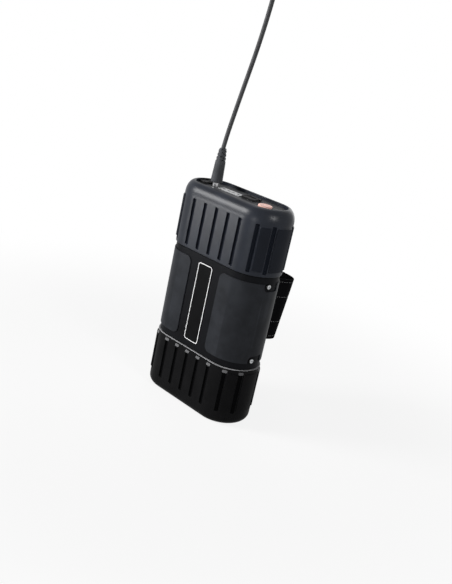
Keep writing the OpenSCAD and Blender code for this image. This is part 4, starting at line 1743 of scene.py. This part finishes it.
@dataclass
class PowerLead:
    """Power lead: the plug in the top, the cord that rises from it and its far plug.

    The cord's route is given in millimetres, as X and Z.
    """

    cord_radius: float = 1.8 * MM
    cord_sides: int = 6
    cord_steps: int = 8
    sides: int = 32
    handle_length: float = 16.0 * MM
    relief_length: float = 12.0 * MM
    relief_rings: int = 4
    ring_share: float = 0.55
    relief_end: float = 3.1 * MM
    shoulder: float = 4.3 * MM
    ring_cut: float = 0.8 * MM
    ring_round: float = 0.18 * MM
    bridge_turn: float = HALF_TURN / 7
    bridge_share: float = 0.9
    foot_round: float = 0.6 * MM
    barrel_hole: float = 1.15 * MM
    barrel_groove: float = 0.2 * MM
    groove_share: float = 0.3
    hole_round: float = 0.15 * MM
    mouth_round: float = 0.4 * MM
    ease_rounds: int = 6
    route_y: float = 1.0 * MM
    route: tuple[Pair, ...] = (
        (-30, 212), (-30, 216), (-29, 222), (-28, 229), (-26, 237), (-25, 245), (-23, 254), (-22, 262),
        (-20, 271), (-18, 279), (-17, 287), (-15, 296), (-14, 304), (-13, 312), (-12, 320), (-11, 328),
        (-10, 336), (-10, 342), (-10, 346),
    )

    def points(self) -> list[Vector]:
        """Eases the route into one smooth line between its ends.

        Returns:
            The points of the line.
        """
        line = [Vector((x * MM, self.route_y, z * MM)) for x, z in self.route]
        for _ in range(self.ease_rounds):
            inner = [(before + 2 * here + after) / 4 for before, here, after in zip(line, line[1:], line[2:])]
            line = [line[0], *inner, line[-1]]
        return line

    def cord(self, points: Sequence[Vector]) -> bpy.types.Object:
        """Draws the cord as a round curve.

        Args:
            points: The points that it runs through.

        Returns:
            The cord.
        """
        line = bpy.data.curves.new("power_cord", "CURVE")
        line.dimensions = "3D"
        line.bevel_depth = self.cord_radius
        line.bevel_resolution = self.cord_sides
        line.resolution_u = self.cord_steps
        line.use_fill_caps = True
        spline = line.splines.new("BEZIER")
        spline.bezier_points.add(len(points) - 1)
        for point, place in zip(spline.bezier_points, points):
            point.co = place
            point.handle_left_type = "AUTO"
            point.handle_right_type = "AUTO"
        line.materials.append(CORD.material())
        made = add_object("power_cord", line)
        join(made, "power_lead", "cord_jacket", "lead_cord")
        return made

    def relief(self, step: float, cut: float = 0.0) -> Corner:
        """Finds a corner of the strain relief.

        Args:
            step: Number of rings below the corner.
            cut: How far the corner is cut in.

        Returns:
            Its radius, height and round.
        """
        share = step / self.relief_rings
        radius = self.shoulder + (self.relief_end - self.shoulder) * share
        return radius - cut, self.handle_length + self.relief_length * share, self.ring_round

    def handle(self, name: str, matrix: Matrix, stands_for: str) -> bpy.types.Object:
        """Turns a plug handle with a slotted strain relief.

        Args:
            name: Name of the piece.
            matrix: Places the handle's foot, with the relief along Z.
            stands_for: CAD node that it replaces.

        Returns:
            The handle.
        """
        corners: list[Corner] = [(0.0, 0.0, 0.0), (NodeBox.of("plug_handle").half.x, 0.0, self.foot_round)]
        for ring in range(self.relief_rings):
            slot = ring + self.ring_share
            corners += [self.relief(ring), self.relief(slot)]
            corners += [self.relief(slot, self.ring_cut), self.relief(ring + 1, self.ring_cut)]
        radius, height, _ = corners.pop()
        corners += [(radius, height, 0.0), (0.0, height, 0.0)]
        form = Form()
        form.spin(rounded(corners, 3), self.sides, Matrix.Identity(4))
        form.settle()
        for ring in range(self.relief_rings):
            self.bridge(form, ring)
        form.move(matrix)
        return form.piece(name, "power_lead", PLUG, "plug_plastic", stands_for)

    def bridge(self, form: Form, ring: int) -> None:
        """Fills a slot of the strain relief on two opposite sides, which turn by a quarter each time.

        Args:
            form: The turned handle.
            ring: Number of the slot.
        """
        low = self.relief(ring + self.ring_share)[1] + self.ring_round
        high = self.relief(ring + 1)[1] - self.ring_round
        first = ring % 2 * QUARTER_TURN
        chosen: list[BMFace] = []
        for face in form.bm.faces:
            middle = face.calc_center_median()
            turn = (math.atan2(middle.y, middle.x) - first) % HALF_TURN
            if low < middle.z < high and min(turn, HALF_TURN - turn) < self.bridge_turn:
                chosen.append(face)
        grown = bmesh.ops.extrude_face_region(form.bm, geom=chosen)["geom"]
        for vert in (part for part in grown if isinstance(part, BMVert)):
            radius = vert.co.xy.length
            vert.co.xy *= (radius + self.ring_cut * self.bridge_share) / radius

    def barrel(self, name: str, matrix: Matrix, stands_for: str) -> bpy.types.Object:
        """Turns a metal barrel with a groove near its mouth.

        Args:
            name: Name of the piece.
            matrix: Places the barrel's top, with the barrel along -Z.
            stands_for: CAD node that it replaces.

        Returns:
            The barrel.
        """
        half = NodeBox.of("plug_barrel").half
        radius = half.x
        mouth = -2 * half.z
        groove = mouth * self.groove_share
        form = Form()
        profile = rounded([
            (self.barrel_hole, 0.0, 0.0),
            (self.barrel_hole, mouth, self.hole_round),
            (radius, mouth, self.mouth_round),
            (radius, groove - 2 * self.barrel_groove, 0.0),
            (radius - self.barrel_groove, groove - self.barrel_groove, 0.0),
            (radius - self.barrel_groove, groove + self.barrel_groove, 0.0),
            (radius, groove + 2 * self.barrel_groove, 0.0),
            (radius, 0.0, 0.0),
            (self.barrel_hole, 0.0, 0.0),
        ], 4)
        form.spin(profile, self.sides, matrix)
        return form.piece(name, "power_lead", NICKEL, "bright_steel", stands_for)

    def build(self) -> None:
        points = self.points()
        cord = self.cord(points)
        near_z = NodeBox.of("plug_handle").low.z
        far_z = NodeBox.of("far_plug_handle").high.z
        near = Matrix.Translation((points[0].x, self.route_y, near_z))
        far = Matrix.Translation((points[-1].x, self.route_y, far_z)) @ Matrix.Rotation(HALF_TURN, 4, "X")
        pieces = [
            self.handle("ribbed_plug_handle", near, "plug_handle"),
            self.barrel("turned_plug_barrel", near, "plug_barrel"),
            self.handle("ribbed_far_plug_handle", far, "far_plug_handle"),
            self.barrel("turned_far_plug_barrel", far, "far_plug_barrel"),
        ]


@dataclass(frozen=True)
class Lamp:
    """A square soft lamp.

    Attributes:
        name: Name of the lamp.
        place: Where it stands.
        aim: The point that it faces.
        size: Side of the lamp.
        power: Power in watts.
        spread: Angle in degrees over which its light fans out.
    """

    name: str
    place: Triple
    aim: Triple
    size: float
    power: float
    spread: float = 180.0

    def build(self) -> None:
        """Makes the lamp."""
        light = bpy.data.lights.new(self.name, "AREA")
        light.size = self.size
        light.energy = self.power
        light.spread = math.radians(self.spread)
        lamp = add_object(self.name, light)
        lamp.location = self.place
        lamp.rotation_euler = (Vector(self.aim) - Vector(self.place)).to_track_quat("-Z", "Y").to_euler()


@dataclass
class Studio:
    """Camera, pale floor, white surroundings and soft lamps."""

    image_height: int = 584
    focal_pixels: float = 800.0
    sensor: float = 36.0
    camera_place: Triple = (0.41585, -0.47513, 0.3068)
    camera_right: Triple = (0.6966, 0.6881, 0.2034)
    camera_down: Triple = (0.3612, -0.0913, -0.928)
    floor_radius: float = 2.5
    floor_sides: int = 96
    floor_near: float = 0.12
    floor_far: float = 0.45
    floor_glow: float = 0.86
    floor_grey: float = 0.85
    floor_roughness: float = 0.9
    room_level: float = 0.05
    lamps: tuple[Lamp, ...] = (
        Lamp("key", (-0.47, -0.56, 0.07), (0.0, -0.02, 0.15), 0.12, 0.16, 60.0),
        Lamp("upper_key", (-0.45, -0.54, 0.42), (0.0, -0.02, 0.17), 0.26, 0.78, 60.0),
        Lamp("corner", (0.12, -0.75, 0.14), (0.03, -0.02, 0.13), 0.2, 0.12, 60.0),
        Lamp("overhead", (-0.4, 0.3, 0.95), (0.0, 0.0, 0.15), 0.35, 1.3),
        Lamp("side", (0.52, -0.1, 0.4), (0.04, 0.0, 0.17), 0.14, 0.16, 60.0),
        Lamp("back", (-0.3, 0.92, 0.3), (0.0, 0.0, 0.12), 0.5, 1.5),
    )

    def camera(self) -> None:
        """Sets the camera at the photograph's viewing angle."""
        right = Vector(self.camera_right).normalized()
        down = Vector(self.camera_down)
        up = -(down - right * down.dot(right)).normalized()
        back = right.cross(up)
        data = bpy.data.cameras.new("camera")
        data.sensor_width = self.sensor
        data.lens = self.focal_pixels * self.sensor / self.image_height
        made = add_object("camera", data)
        turn = Matrix((right, up, back)).transposed().to_4x4()
        made.matrix_world = Matrix.Translation(self.camera_place) @ turn
        bpy.context.scene.camera = made

    def seen(self, graph: Graph) -> Socket:
        """Tells the rays that see from those that light.

        Args:
            graph: The nodes that it is added to.

        Returns:
            1 for rays from the camera, mirrors and glass, and 0 for the others.
        """
        camera, mirror, glass = (
            graph.node("ShaderNodeLightPath", output=name)
            for name in ("Is Camera Ray", "Is Glossy Ray", "Is Transmission Ray")
        )
        return camera.at_least(mirror).at_least(glass)

    def floor(self) -> None:
        """Lays a round floor that is white far off and keeps a soft shadow near the object."""
        graph = Surface("pale_floor")
        place = graph.stretched(graph.place(), (1.0, 1.0, 0.0))
        away = graph.node("ShaderNodeVectorMath", {"operation": "LENGTH"}, {0: place}, "Value")
        white = self.floor_glow + graph.span(away, self.floor_near, self.floor_far) * (1 - self.floor_glow)
        glow = graph.node("ShaderNodeEmission", None, {"Color": WHITE, "Strength": 1.0})
        graph.set("Base Color", (self.floor_grey, self.floor_grey, self.floor_grey, 1.0))
        graph.set("Roughness", self.floor_roughness)
        graph.set("Specular IOR Level", 0.0)
        inputs = {0: white * self.seen(graph), 1: Socket(graph, graph.shader.outputs[0]), 2: glow}
        graph.feed(graph.end.inputs[0], graph.node("ShaderNodeMixShader", None, inputs))
        bm = bmesh.new()
        bmesh.ops.create_circle(bm, cap_ends=True, segments=self.floor_sides, radius=self.floor_radius)
        mesh = bpy.data.meshes.new("floor")
        bm.to_mesh(mesh)
        bm.free()
        mesh.materials.append(graph.material)
        add_object("floor", mesh)

    def room(self) -> None:
        """Makes the surroundings white to the eye and softly grey as a light."""
        world = bpy.data.worlds.new("studio")
        world.use_nodes = True
        bpy.context.scene.world = world
        graph = Graph(world.node_tree)
        level = self.room_level + self.seen(graph) * (1 - self.room_level)
        shade = graph.node("ShaderNodeBackground", None, {"Color": WHITE, "Strength": level})
        end = graph.tree.nodes.new("ShaderNodeOutputWorld")
        graph.feed(end.inputs[0], shade)

    def build(self) -> None:
        """Builds the studio."""
        bpy.context.scene.view_settings.view_transform = "Standard"
        self.camera()
        self.floor()
        self.room()
        for lamp in self.lamps:
            lamp.build()


def dress_cad() -> None:
    """Gives every CAD node that stays its finish."""
    for name, finish in CAD_FINISHES.items():
        node = frame["nodes"][name]
        node.data.materials.clear()
        node.data.materials.append(finish.material())
        log.info("%s is dressed with %s", name, finish.name)


def main() -> None:
    """Builds the studio, the lead and the pieces of the pack."""
    logging.basicConfig(level=logging.INFO)
    Studio().build()
    PowerLead().build()
    plan = CasePlan.from_frame()
    RibbedCap(plan, CapEnd.UPPER, UPPER_CAP).build()
    RibbedCap(plan, CapEnd.LOWER, SHADED_LOWER_CAP).build()
    SleeveTrim(plan).build()
    TopPanel(plan).build()
    FoamPads(plan).build()
    LegStrap.from_frame().build()
    dress_cad()


if __name__ == "__main__":
    main()
